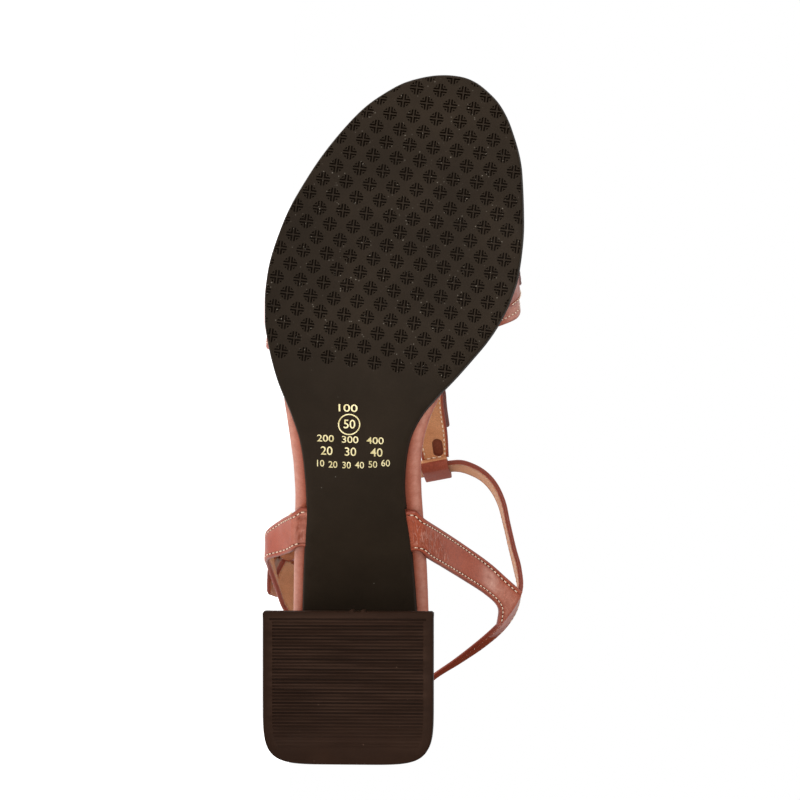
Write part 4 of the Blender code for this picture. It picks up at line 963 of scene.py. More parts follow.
def build_heel():
    low, high = ({k: HEEL[k][i] for k in HEEL if k != "level"} for i in (0, 1))
    rings, heights = [], []
    steps = 26
    columns = 24
    foot = (0.0, 0.012, 0.03)
    for s in sorted(set(foot) | {i / steps for i in range(1, steps)} | {0.985, 0.995, 1.0}):
        e = s * (2 - s) * 0.35 + s * 0.65
        plan = d_plan({k: low[k] + (high[k] - low[k]) * e for k in low}, columns=columns)
        round_in = 0.45 * (1 - math.sqrt(max(0.0, 1 - (1 - min(s / 0.03, 1.0)) ** 2))) + 0.35 * (1 - math.sqrt(max(0.0, 1 - (1 - min((1 - s) / 0.015, 1.0)) ** 2)))
        rings.append(ring_inset(plan, round_in))
        heights.append(lambda p, s=s: (1 - s) * (TOPLIFT_T + GAP) + s * (footbed_base(p[:, 0]) - GAP))
    caps = (lambda p, s: np.full(len(p), TOPLIFT_T + GAP), lambda p, s: footbed_base(p[:, 0]) - GAP)
    points, faces, _ = loft_rings(rings, heights, caps, columns)
    obj = make_object("heel_cover", points, faces, ["heel_cover"], sharp=45.0, slot="heel_cover")
    play = GAP + EDGE_FLARE
    x = np.linspace(-60.0, OUTSOLE_TAIL_X - play, 30)
    lat, med = outsole_edges(np.clip(x, OUTSOLE_TAIL_X, None))
    ring = ring_of(np.stack([x, lat - play], 1), np.stack([x, med + play], 1), columns=12)
    crowned = lambda p, s: under(p[:, 0]) - GAP - WAIST_CROWN * bulge(s) * np.clip((p[:, 0] + 84) / 16, 0, 1)
    points, faces, _ = loft_rings((ring, ring), (lambda p: under(p[:, 0]) - GAP, lambda p: under(p[:, 0]) + 12.0), (crowned, lambda p, s: under(p[:, 0]) + 12.0), 12)
    cut(obj, make_object("heel_seat", points, faces, ["heel_cover"]))
    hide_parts("heel_block")
    return obj


RIB_PITCH = 1.13
RIB_DEEP = 0.34


def build_toplift():
    plan = ring_points(d_plan(TOPLIFT))
    outline = even_loop(plan + inward_of(plan) * 0.5, 0.8)
    border = even_loop(plan + inward_of(plan) * 3.2, 0.5)
    grooves, centres = [], []
    x = TOPLIFT["breast_x"] - 2.6
    while x > TOPLIFT["back_x"] + 5.6:
        ys = []
        for (a, b), (c, d) in zip(border, np.roll(border, -1, 0)):
            if (a > x) != (c > x):
                ys.append(b + (d - b) * (x - a) / (c - a))
        if len(ys) >= 2:
            lo, hi = min(ys), max(ys)
            for half, end in ((0.36, 0.0), (0.20, 0.25)):
                grooves.append(np.array([(x - half, lo + end), (x + half, lo + end), (x + half, hi - end), (x - half, hi - end)]))
            centres.append((x, lo, hi))
        x -= RIB_PITCH
    centres = np.array(centres)

    def depth(points):
        deep = np.zeros(len(points))
        for x, lo, hi in centres:
            inside = (np.abs(points[:, 0] - x) < 0.22) & (points[:, 1] > lo + 0.2) & (points[:, 1] < hi - 0.2)
            deep[inside] = RIB_DEEP * (1 - 0.72 * ease(-x, 104.0, 119.0)) * (0.82 + 0.18 * math.sin(x * 7.3))
        return deep

    extra = away_from(lattice((-123, -47), (-71, 12), 4.0), outline, 1.5)
    gap = np.min(np.abs(extra[:, :1] - centres[:, 0]), 1)
    extra = extra[(gap > 0.45)]
    rims = (
        (0.16, lambda p, d: np.full(len(p), 0.05)),
        (0.36, lambda p, d: np.full(len(p), 0.18)),
        (0.5, lambda p, d: np.full(len(p), 0.5)),
        (0.5, lambda p, d: np.full(len(p), 3.0)),
        (0.5, lambda p, d: np.full(len(p), TOPLIFT_T - 0.25)),
        (0.3, lambda p, d: np.full(len(p), TOPLIFT_T)),
    )
    flat = lambda z: (lambda p: np.full(len(p), z))
    points, faces, deep = slab(outline, grooves, extra, flat(0.0), depth, rims, flat(TOPLIFT_T), lattice((-123, -47), (-71, 12), 6.0))
    # where the painted rib highlights go, weaker towards the back
    ribs = np.zeros(len(points))
    for x, lo, hi in centres:
        ribs[(np.abs(points[:, 0] - x) < 0.8) & (points[:, 1] > lo - 0.3) & (points[:, 1] < hi + 0.3)] = 1 - 0.6 * ease(-x, 100.0, 117.0)
    # painted shade in the rib grooves is set by their depth, raised 1.3 times
    obj = make_object("toplift_rubber_lift", points, faces, ["toplift_rubber"], sharp=32.0, numbers={"deep": deep * 1.3, "ribs": ribs}, slot="toplift_rubber")
    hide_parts("heel_toplift")
    # moulding nibs on the front edge
    nibs = [rod([(TOPLIFT["breast_x"] - 0.35, y, z) for z in (0.25, 0.6, 3.0, 5.2, 5.6)], 1.0, sides=20, taper=(0.5, 1.0, 1.0, 1.0, 0.5)) for y in (-16.4, -12.6)]
    nibs = make_object("toplift_nibs", *join_meshes(nibs), ["toplift_rubber"], sharp=50.0, slot="toplift_rubber")
    return obj, nibs


# ---------------------------------------------------------------- straps
SEAM = {"ring": 1.45, "outer": 1.45, "inner": 1.45, "tbar": 1.4, "vamp": 2.5}    # from a strap's edge to its stitches


def columns_across(width, spacing=0.85, seam=1.45):
    """Places across a strap as parts of its width, close together at its edges and seams."""
    half = width / 2
    near = [0.0, 0.04, 0.12, 0.25, 0.43, 0.65, 0.88] + ([1.3, 1.75] if seam > 2.2 else [])
    near += [seam - 0.36, seam - 0.18, seam, seam + 0.18, seam + 0.36, seam + 0.8, seam + 1.4]
    near = [d for d in near if d < half - 0.3]
    more = max(1, int(round((half - near[-1]) / spacing)))
    near += list(np.linspace(near[-1], half, more + 1))[1:]
    part = np.array(near) / width
    return np.concatenate([part, 1 - part[-2::-1]])


def evenly(line, first, last, spacing):
    fine = np.linspace(first, last, 500)
    run = np.concatenate([[0], np.cumsum(np.linalg.norm(np.diff(spline(line, fine), axis=0), axis=1))])
    return list(np.interp(np.linspace(0, run[-1], max(2, int(round(run[-1] / spacing)) + 1)), run, fine))


def ring_edges():
    centre = np.stack([RING["x"], RING["y"], RING["z"]], 1)
    up = unit(np.stack([RING["lean_x"], RING["lean_y"], np.ones(len(centre))], 1))
    half = np.asarray(RING["width"])[:, None] / 2 * up
    lean_in = np.asarray(RING["upper_in"])[:, None] * np.array((0.0, 1.0, 0.15))
    return centre - half, centre + half + lean_in


def between(front, rear, parts):
    front, rear = np.asarray(front, float), np.asarray(rear, float)
    return [front + (rear - front) * k for k in parts]


def strap_from_sole(x_ends, side, parts, front, rear, rake=0.0):
    wraps = [wrap_rows(x_ends[0] + (x_ends[1] - x_ends[0]) * k, side, rake) for k in parts]
    return [np.vstack([w, line]) for w, line in zip(wraps, between(front, rear, parts))]


class Sheet:
    """The middle of a strap's wall as a mesh, with where each point is along and across its strap."""

    def __init__(self):
        self.bm = bmesh.new()
        self.sheet = {}
        self.strap = {}

    def grid(self, points, name, first=None, last=None):
        run = np.concatenate([[0], np.cumsum(np.linalg.norm(np.diff(points.mean(1), axis=0), axis=1))])
        rows = []
        for i, line in enumerate(points):
            if first is not None and i == 0:
                rows.append(first)
                continue
            if last is not None and i == len(points) - 1:
                rows.append(last)
                continue
            wide = np.concatenate([[0], np.cumsum(np.linalg.norm(np.diff(line, axis=0), axis=1))])
            row = [self.bm.verts.new(p) for p in line]
            for v, w in zip(row, wide):
                self.sheet[v] = (run[i], w, 0.0)
                self.strap[v] = name
            rows.append(row)
        for r, s in zip(rows, rows[1:]):
            for c in range(len(r) - 1):
                self.bm.faces.new((r[c], r[c + 1], s[c + 1], s[c]))
        return rows


def quarter_sheet():
    made = Sheet()
    low, high = ring_edges()
    line = (low + high) / 2
    join = columns_across(12.0)
    span = lambda j: list(j[0] + (j[1] - j[0]) * join)
    where = evenly(line, 0, OUTER_JOIN[0], 1.1)[:-1] + span(OUTER_JOIN)
    where += evenly(line, OUTER_JOIN[1], INNER_JOIN[0], 1.2)[1:-1] + span(INNER_JOIN)
    where += evenly(line, INNER_JOIN[1], len(line) - 1, 1.1)[1:]
    lines = between(low, high, columns_across(10.0))
    rows = made.grid(np.stack([spline(l, where) for l in lines], 1), "ring")
    at = {round(w, 6): r[0] for w, r in zip(where, rows)}
    for join_at, table, x_ends, side, name in ((OUTER_JOIN, OUTER_QUARTER, OUTER_QUARTER_X, -1, "outer"), (INNER_JOIN, INNER_QUARTER, INNER_QUARTER_X, 1, "inner")):
        shared = [at[round(w, 6)] for w in span(join_at)]
        if side > 0:
            shared = shared[::-1]
        centre = np.stack([table["x"], table["y"], table["z"]], 1)
        half = np.stack([table["dx"], table["dy"], table["dz"]], 1)
        lines = []
        wraps = [wrap_rows(x_ends[0] + (x_ends[1] - x_ends[0]) * k, side, QUARTER_RAKE[side]) for k in join]
        for w, k, end in zip(wraps, join, shared):
            rows = centre + half * (1 - 2 * k)
            if side > 0:
                # keeps its width until just under the ring, then turns back into it in a round corner
                straight = spline(low, np.array([join_at[1] - 1.4 * k]))[0]
                rows = np.vstack([rows, rows[-1] * 0.38 + straight * 0.62])
            lines.append(np.vstack([w, rows, tuple(end.co)]))
        where_q = evenly(lines[0], 0, 4, 0.7) + evenly(lines[0], 4, len(lines[0]) - 1, 1.1)[1:]
        made.grid(np.stack([spline(l, where_q) for l in lines], 1), name, last=shared)
    return made


def tbar_lines(shared, parts):
    edge = np.stack([TBAR["x"], TBAR["y"], TBAR["z"]], 1)
    wide = np.stack([TBAR["half_x"], TBAR["half_y"], np.zeros(len(edge))], 1)
    return [np.vstack([s, edge - wide * (1 - 2 * k)]) for s, k in zip(shared, parts)]


def vamp_lines(parts):
    mid, half = np.asarray(VAMP["mid_x"]), np.asarray(VAMP["half_x"])
    centre = np.stack([mid, VAMP["y"], VAMP["z"]], 1)
    reach = np.stack([half, VAMP["skew_y"], -VAMP_SLOPE * half], 1)
    front, rear = centre + reach, centre - reach
    lines = strap_from_sole(VAMP_OUTER_X, -1, parts, front, rear)
    lead = len(lines[0]) - len(front)
    ends = [wrap_rows(VAMP_INNER_X[0] + (VAMP_INNER_X[1] - VAMP_INNER_X[0]) * k, 1)[::-1] for k in parts]
    return [np.vstack([line, end]) for line, end in zip(lines, ends)], lead


def vamp_sheet():
    made = Sheet()
    parts = columns_across(18.0, 1.1, SEAM["vamp"])
    lines, lead = vamp_lines(parts)
    join, last = tuple(lead + t for t in TBAR_JOIN), len(lines[0]) - 1
    middle = lines[len(lines) // 2]
    across = columns_across(22.0, 1.1)
    span = list(join[0] + (join[1] - join[0]) * across)
    where = evenly(middle, 0, lead - 1, 0.8) + evenly(middle, lead - 1, join[0], 1.3)[1:-1] + span
    where += evenly(middle, join[1], last - lead + 1, 1.3)[1:-1] + evenly(middle, last - lead + 1, last, 0.8)
    rows = made.grid(np.stack([spline(l, where) for l in lines], 1), "vamp")
    at = {round(w, 6): r[-1] for w, r in zip(where, rows)}
    shared = [at[round(w, 6)] for w in span]
    lines = tbar_lines([tuple(v.co) for v in shared], across)
    where_t = evenly(lines[len(lines) // 2], 0, len(TBAR["x"]), 1.1)
    made.grid(np.stack([spline(l, where_t) for l in lines], 1), "tbar", first=shared)
    return made


def under_cover(p):
    """Which points are tucked in between the soles."""
    side = np.where(p[:, 1] < footbed_edge(p[:, 0], -1) * 0.5 + footbed_edge(p[:, 0], 1) * 0.5, -1, 1)
    edge = np.where(side < 0, footbed_edge(p[:, 0], -1), footbed_edge(p[:, 0], 1))
    lat, med = outsole_edges(np.clip(p[:, 0], OUTSOLE_TAIL_X, TOE_X))
    rubber = np.where(side < 0, lat, med)
    inside = np.where(side < 0, np.maximum(edge + 0.6, rubber - 0.2) < p[:, 1], np.minimum(edge - 0.6, rubber + 0.2) > p[:, 1])
    return inside & (p[:, 2] < footbed_base(p[:, 0]) + 0.6)


def wall_of(d, seam):
    """Half the wall's thickness at a distance from the edge: a round folded edge, drawn in along the seam."""
    full = STRAP_T / 2
    edge = np.sqrt(np.clip(1 - (1 - np.clip(d / 0.85, 0, 1)) ** 2, 0, 1))
    return full * edge - 0.15 * bell(d, seam, 0.32) - 0.05 * ease(d, seam + 0.5, seam + 2.0)


def strap_piece(name, made, outside, lining_from, shape, gather, slot):
    """Closed wall around a sheet, leather outside and lining within, and its seam lines."""
    bm = made.bm
    bmesh.ops.recalc_face_normals(bm, faces=bm.faces[:])
    bm.normal_update()
    verts = list(bm.verts)
    where, out = outside
    nearest = min(verts, key=lambda v: (v.co - Vector(where)).length)
    if nearest.normal.dot(Vector(out)) < 0:
        bmesh.ops.reverse_faces(bm, faces=bm.faces[:])
        bm.normal_update()
    bm.verts.index_update()
    verts = list(bm.verts)
    co, no = np.array([v.co for v in verts]), np.array([v.normal for v in verts])
    rim = np.array([v.is_boundary for v in verts])
    sheet = np.array([made.sheet[v] for v in verts])
    strap = np.array([made.strap[v] for v in verts])
    edges = [e for e in bm.edges if e.is_boundary]
    samples = np.array([e.verts[0].co.lerp(e.verts[1].co, t) for e in edges for t in (0.0, 0.25, 0.5, 0.75)])
    tree = KDTree(len(samples))
    for i, p in enumerate(samples):
        tree.insert(p, i)
    tree.balance()
    edge_seam = np.array([SEAM[made.strap[e.verts[0]]] for e in edges for t in range(4)])
    found = [tree.find(p) for p in co]
    d = np.array([0.0 if r else f[2] for f, r in zip(found, rim)])
    half = wall_of(d, edge_seam[[f[1] for f in found]])
    lift = shape(co, d, sheet, strap) if shape else 0.0
    half_out = np.where(rim, 0.0, half + lift)
    n = len(co)
    inner_index = np.arange(n)
    inner_index[~rim] = n + np.arange((~rim).sum())
    points = np.vstack([co + no * half_out[:, None], (co - no * half[:, None])[~rim]])
    faces, mats = [], []
    tip = (strap == "ring") & (sheet[:, 0] > sheet[:, 0].max() - 24.0)
    for f in bm.faces:
        ids = [v.index for v in f.verts]
        faces.append(ids)
        mats.append(0)
        faces.append([int(inner_index[i]) for i in reversed(ids)])
        mats.append(1 if np.mean(d[ids]) > (0.35 if tip[ids[0]] else lining_from) else 0)
    doubled = lambda v: np.concatenate([v, v[~rim]])
    edge_dark = np.clip(1 - d / 1.0, 0, 1) ** 1.5
    # painted shade along the drawn-in seam groove, on both faces
    sewn = 0.55 * bell(d, edge_seam[[f[1] for f in found]], 0.26)
    folds = gather(co, d, sheet, strap)
    numbers = {
        "edge": doubled(edge_dark) * 0.85,
        "gather": np.concatenate([folds["gather"], np.zeros((~rim).sum())]),
        "fold": np.concatenate([np.maximum(folds["fold"], sewn), np.maximum(0.6 * sewn, folds.get("inside", 0.0 * sewn))[~rim]]),
        "pale": np.concatenate([folds["pale"], np.zeros((~rim).sum())]),
        "sheet": doubled(sheet),
    }
    obj = make_object(name, points, faces, ["strap_leather", "lining_leather"], mats, sharp=65.0, numbers=numbers, slot=slot, fix_normals=False)
    # seams: the edge moved in, on both faces
    inward = {}
    for e in edges:
        f = e.link_faces[0]
        mid = (e.verts[0].co + e.verts[1].co) / 2
        along = (e.verts[1].co - e.verts[0].co).normalized()
        to = f.calc_center_median() - mid
        inward[e] = (to - along * to.dot(along)).normalized()
    around = {}
    for e in edges:
        for v in e.verts:
            around.setdefault(v, []).append(e)
    first = edges[0].verts[0]
    loop, last, at = [], None, first
    while True:
        e = next(x for x in around[at] if x is not last)
        loop.append((at, e))
        last, at = e, e.other_vert(at)
        if at is first:
            break
    pts = np.array([v.co for v, _ in loop])
    ins = np.array([sum((inward[x] for x in around[v]), Vector()).normalized() for v, _ in loop])
    surface = BVHTree.FromBMesh(bm)
    inset = np.array([SEAM[made.strap[v]] for v, _ in loop])
    for _ in range(6):
        inset = (np.roll(inset, 1) + inset + np.roll(inset, -1)) / 3
    raw = pts + ins * inset[:, None]
    lines = {"out": [], "in": []}
    located = [surface.find_nearest(Vector(p)) for p in raw]
    spot = np.array([l[0] for l in located])
    fd = np.array([tree.find(p)[2] for p in spot])
    hidden = under_cover(spot) | (fd < inset - 0.3)
    # normals from the nearest points, so that they are smooth
    finder = KDTree(n)
    for i, p in enumerate(co):
        finder.insert(p, i)
    finder.balance()
    normal = np.array([unit(sum(no[i] for _, i, _ in finder.find_n(p, 4))) for p in spot])
    thick = wall_of(inset, inset)
    order = np.arange(len(spot))
    gaps = np.where(hidden)[0]
    if len(gaps):
        order = np.roll(order, -gaps[0])
    run = []
    for i in list(order) + [None]:
        if i is None or hidden[i] or (run and np.linalg.norm(spot[i] - spot[run[-1]]) > 5.0):
            if len(run) > 3:
                r = np.array(run)
                lines["out"].append((spot[r] + normal[r] * thick[r][:, None], normal[r]))
                lines["in"].append((spot[r] - normal[r] * thick[r][:, None], -normal[r]))
            run = [] if (i is None or hidden[i]) else [i]
        else:
            run.append(i)
    return obj, lines


def stitch_pace(p):
    """Stitches are longer on the outer quarter strap."""
    return 1.45 if p[1] < -41.0 and 30.0 < p[2] < 68.0 and p[0] > -66.0 else 1.0


def stitch_size(p):
    """Stitches are drawn deep into the leather on the inner back run of the ankle ring."""
    return 0.55 if p[1] > -6.0 and p[0] < -80.0 and p[2] > 70.0 else 1.0


def needle_hole_shade(name, lines, material, pitch=2.0, long=1.34, sides=6, slot=None):
    """Small dark dimples between the stitches of seam lines: painted shade of the needle holes."""
    points, faces = [], []
    turn = np.arange(sides) * 2 * math.pi / sides
    for path, normal in lines:
        run = np.concatenate([[0], np.cumsum(np.linalg.norm(np.diff(path, axis=0), axis=1))])
        start = 0.4
        while True:
            pace = stitch_pace([np.interp(start, run, path[:, c]) for c in range(3)])
            at = start + (long + pitch) / 2 * pace
            if at > run[-1] - 0.3:
                break
            spot = np.array([np.interp(at, run, path[:, c]) for c in range(3)])
            up = unit(np.array([np.interp(at, run, normal[:, c]) for c in range(3)]))
            ahead = np.array([np.interp(at + 0.2, run, path[:, c]) for c in range(3)])
            along = unit(ahead - spot)
            side = unit(np.cross(along, up))
            base = len(points) * (sides + 2)
            rim = spot + up * 0.06 + 0.38 * np.cos(turn)[:, None] * along + 0.30 * np.sin(turn)[:, None] * side
            points.append(np.vstack([rim, spot + up * 0.12, spot - up * 0.12]))
            for b in range(sides):
                c = (b + 1) % sides
                faces += [(base + b, base + c, base + sides), (base + c, base + b, base + sides + 1)]
            start += pitch * pace
    return make_object(name, np.vstack(points), faces, [material], sharp=80.0, slot=slot)


def stitch_mesh(name, lines, material, pitch=2.0, long=1.34, radius=0.22, sides=6, slot=None):
    """Thread lying along seam lines, one short round stitch after another."""
    points, faces = [], []
    profile = ((0.0, 0.30, -0.14), (0.12, 0.8, 0.0), (0.5, 1.0, 0.10), (0.88, 0.8, 0.0), (1.0, 0.30, -0.14))
    ring_angles = np.arange(sides) * 2 * math.pi / sides
    for path, normal in lines:
        run = np.concatenate([[0], np.cumsum(np.linalg.norm(np.diff(path, axis=0), axis=1))])
        start, starts = 0.4, []
        while True:
            pace = stitch_pace([np.interp(start, run, path[:, c]) for c in range(3)])
            if start + long * pace > run[-1] - 0.2:
                break
            starts.append((start, pace))
            start += pitch * pace
        for start, pace in starts:
            at = start + np.array([p[0] for p in profile]) * long * pace
            mid = np.stack([np.interp(at, run, path[:, c]) for c in range(3)], 1)
            up = unit(np.stack([np.interp(at, run, normal[:, c]) for c in range(3)], 1))
            along = unit(mid[-1] - mid[0])
            side = unit(np.cross(along, up))
            lift = np.array([p[2] for p in profile])
            size = stitch_size(mid[2])
            thick = np.array([p[1] for p in profile]) * radius * size
            mid = mid + up * (lift - 0.25 * (1 - size))[:, None]
            base = len(points) * sides * len(profile)
            ring = mid[:, None] + thick[:, None, None] * (np.cos(ring_angles)[None, :, None] * side[:, None] + np.sin(ring_angles)[None, :, None] * up[:, None])
            points.append(ring.reshape(-1, 3))
            for a in range(len(profile) - 1):
                for b in range(sides):
                    c = (b + 1) % sides
                    faces.append((base + a * sides + b, base + a * sides + c, base + (a + 1) * sides + c, base + (a + 1) * sides + b))
            faces.append(tuple(base + b for b in range(sides))[::-1])
            faces.append(tuple(base + (len(profile) - 1) * sides + b for b in range(sides)))
    return make_object(name, np.vstack(points), faces, [material], sharp=80.0, slot=slot)


def quarter_shape(co, d, sheet, strap):
    """Soft folds of the quarter straps where they are drawn round the footbed's edge."""
    lift = np.zeros(len(co))
    outer = strap == "outer"
    s, t = sheet[:, 0], sheet[:, 1]
    near = ease(s, 2.5, 4.0) * (1 - ease(s, 6.0, 10.5))
    ripple = 0.20 * np.sin(t * 2 * math.pi / 3.3 + 0.8 + 0.25 * s) + 0.10 * np.sin(t * 2 * math.pi / 1.9 + 2.0 - 0.3 * s)
    lift += np.where(outer, near * ripple * ease(d, 0.5, 1.6), 0.0)
    inner = strap == "inner"
    near = ease(s, 8.0, 10.0) * (1 - ease(s, 14.0, 24.0))
    ripple = 0.12 * np.sin(s * 2 * math.pi / 3.7 + 0.5 * t) + 0.08 * np.sin(s * 2 * math.pi / 2.3 + 1.1 * t + 1.0)
    lift += np.where(inner, near * ripple * ease(d, 0.8, 2.6), 0.0)
    return lift


def quarter_folds(co, d, sheet, strap):
    s, t = sheet[:, 0], sheet[:, 1]
    inner = (strap == "inner") * ease(s, 4.5, 8.0) * (1 - ease(s, 18.0, 30.0)) * ease(d, 1.6, 3.4)
    outer = (strap == "outer") * ease(s, 3.0, 5.0) * (1 - ease(s, 7.0, 12.0)) * ease(d, 0.8, 2.6)
    # painted shade in the outer strap's gathers near the sole
    near = ease(s, 1.5, 2.5) * (1 - ease(s, 4.5, 8.0))
    fold = np.where(strap == "outer", near * (0.10 + 0.22 * np.sin(t * 2 * math.pi / 3.3 - 0.9 + 0.25 * s)), 0.0)
    # painted shade of one deep crease along the sole, wandering a little
    crease = bell(s, 8.0 + 0.5 * np.sin(t * 0.9 + 0.6) + 0.25 * np.sin(t * 2.3), 0.62) * (0.55 + 0.25 * np.sin(t * 1.7 + 1.0))
    fold = fold + np.where(strap == "outer", crease * ease(d, 0.3, 1.2), 0.0)
    # painted shade on the inner strap where it leaves the sole
    fold = fold + np.where(strap == "inner", 0.7 * (1 - ease(s, 2.5, 5.5)), 0.0)
    # painted shade on the back run of the ring on the inner side
    back = (strap == "ring") * (co[:, 1] > -2.0) * ease(-co[:, 0], 79.0, 88.0) * (1 - ease(-co[:, 0], 103.0, 110.0))
    fold = fold + 1.0 * back
    # painted highlights: a pale patch where the inner strap turns outward, and paler leather on the outer strap near
    # the sole
    far = sheet[:, 0].max(where=strap == "inner", initial=0.0)
    pale = (strap == "inner") * (1.35 * bell(s, far - 15.0, 5.5) + 0.55 * ease(s, far - 14.0, far - 4.0)) * ease(d, 1.4, 3.2)
    pale = pale + (strap == "outer") * 0.42 * ease(s, 2.0, 4.0) * (1 - ease(s, 9.0, 14.0)) * ease(d, 0.4, 1.0)
    inside = (strap == "ring") * ease(co[:, 1], 8.0, 14.0) * 0.16
    # the creases reach further along the inner strap's rear half
    inner = inner + (strap == "inner") * 0.7 * ease(s, 11.0, 16.0) * (1 - ease(s, 25.0, 32.0)) * ease(t, 6.0, 9.0) * ease(d, 1.6, 2.6)
    return {"gather": np.clip(inner, 0, 1.1) + 0.45 * outer, "fold": np.clip(fold, 0, 1) * 0.85, "pale": pale, "inside": inside}


def vamp_folds(co, d, sheet, strap):
    s = sheet[:, 0]
    soft = 0.10 * ease(d, 1.6, 3.4)
    # painted shade on the vamp where it comes out from under the footbed's outer edge
    near = ease(s, 7.0, 8.5) * (1 - ease(s, 9.5, 12.0))
    # painted highlight on the vamp low on its inner side
    vamp_highlight = (strap == "vamp") * ease(co[:, 1], 33.0, 36.5) * (1 - ease(co[:, 2], 22.0, 30.0)) * ease(d, 0.3, 1.2)
    return {"gather": soft, "fold": np.where(strap == "vamp", near * 0.12, 0.0), "pale": 0.75 * vamp_highlight}


def tube_band(centre, axis, wide_dir, thick_dir, wide, thick, wall, length, corner=14):
    """A closed leather band around something wide by thick, with rounded edges."""
    section = ((-1.0, 0.0, 0.28), (-1.0, 0.0, 0.72), (-0.97, 0.0, 0.93), (-0.92, 0.0, 1.0), (0.92, 0.0, 1.0), (0.97, 0.0, 0.93), (1.0, 0.0, 0.72), (1.0, 0.0, 0.28), (0.97, 0.0, 0.07), (0.92, 0.0, 0.0), (-0.92, 0.0, 0.0), (-0.97, 0.0, 0.07))
    points, faces = [], []
    outline = []
    flat = wide / 2 - thick / 2
    for end, start in ((1, -90), (-1, 90)):
        for k in range(corner + 1):
            a = math.radians(start + 180 * k / corner)
            outline.append((end * flat, math.cos(a), math.sin(a)))
    n, m = len(outline), len(section)
    for f, c, s in outline:
        for along, _, grow in section:
            r = thick / 2 + wall * grow
            points.append(centre + axis * along * length / 2 + wide_dir * (f + r * c) + thick_dir * r * s)
    for i in range(n):
        for j in range(m):
            k, l = (i + 1) % n, (j + 1) % m
            faces.append((i * m + j, k * m + j, k * m + l, i * m + l))
    return np.array(points), faces


def rod(path, radius, sides=16, closed=False, taper=None):
    path = np.asarray(path, float)
    n = len(path)
    points, faces, side = [], [], None
    for i in range(n):
        ahead = path[(i + 1) % n] if closed or i < n - 1 else path[i]
        behind = path[i - 1] if closed or i else path[i]
        t = unit(ahead - behind)
        if side is None:
            side = unit(np.cross(t, (0.3, 0.2, 1.0)))
        side = unit(side - t * np.dot(side, t))
        other = np.cross(t, side)
        r = radius * (taper[i] if taper is not None else 1.0)
        for k in range(sides):
            a = 2 * math.pi * k / sides
            points.append(path[i] + r * (math.cos(a) * side + math.sin(a) * other))
    for i in range(n if closed else n - 1):
        j = (i + 1) % n
        for k in range(sides):
            l = (k + 1) % sides
            faces.append((i * sides + k, i * sides + l, j * sides + l, j * sides + k))
    if not closed:
        faces.append(tuple(range(sides))[::-1])
        faces.append(tuple((n - 1) * sides + k for k in range(sides)))
    return np.array(points), faces


def rounded_frame(centre, along, up, long, tall, corner, steps=10):
    pts = []
    for sx, sy, start in ((1, 1, 0), (-1, 1, 90), (-1, -1, 180), (1, -1, 270)):
        for k in range(steps + 1):
            a = math.radians(start + 90 * k / steps)
            pts.append(centre + along * (sx * (long / 2 - corner) + corner * math.cos(a)) + up * (sy * (tall / 2 - corner) + corner * math.sin(a)))
    return pts


def buckle_frame():
    low, high = ring_edges()
    a = RING["place"].index("buckle")
    p, q = (low[a] + high[a]) / 2, (low[a + 1] + high[a + 1]) / 2
    along = unit(q - p)
    out = unit(np.cross(along, high[a] - low[a] + high[a + 1] - low[a + 1]))
    up = np.cross(out, along)
    return (p + q) / 2, along, out if out[1] < 0 else -out, up


def join_meshes(parts):
    points, faces, total = [], [], 0
    for p, f in parts:
        points.append(p)
        faces += [tuple(i + total for i in face) for face in f]
        total += len(p)
    return np.vstack(points), faces


def build_upper():
    quarter, seams = strap_piece("quarter_straps", quarter_sheet(), ((-112.0, -14.0, 93.6), (-1.0, 0.0, 0.0)), 0.95, quarter_shape, quarter_folds, "strap_leather")
    vamp, vamp_seams = strap_piece("vamp_and_tbar", vamp_sheet(), ((43.5, 4.0, 49.6), (0.0, 0.0, 1.0)), 0.95, None, vamp_folds, "strap_leather")
    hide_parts("upper_quarter_straps")
    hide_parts("upper_vamp_and_tbar")
    return quarter, vamp, seams, vamp_seams


def build_loop():
    low, high = ring_edges()
    centre = (low[LOOP_ROW] + high[LOOP_ROW]) / 2
    wide_dir = unit(high[LOOP_ROW] - low[LOOP_ROW])
    axis = unit((low[LOOP_ROW - 1] + high[LOOP_ROW - 1]) / 2 - (low[LOOP_ROW + 1] + high[LOOP_ROW + 1]) / 2)
    wide_dir = unit(wide_dir - axis * np.dot(wide_dir, axis))
    thick_dir = unit(np.cross(wide_dir, axis))
    points, faces = tube_band(centre, axis, wide_dir, thick_dir, RING["width"][LOOP_ROW] + STRAP_T + 2 * LOOP_PLAY, STRAP_T + 2 * LOOP_PLAY, LOOP_WALL, TBAR_LOOP_W)
    # the T-bar's lining runs on into the loop's lower fold
    front = thick_dir if thick_dir[0] > 0 else -thick_dir
    middle = np.array([points[list(f)].mean(0) for f in faces]) - centre
    lined = (middle @ front > 0.35) & (middle @ wide_dir < -RING["width"][LOOP_ROW] / 2 + 0.4)
    return make_object("tbar_loop", points, faces, ["loop_leather", "lining_leather"], [1 if k else 0 for k in lined], sharp=50.0, slot="strap_leather")


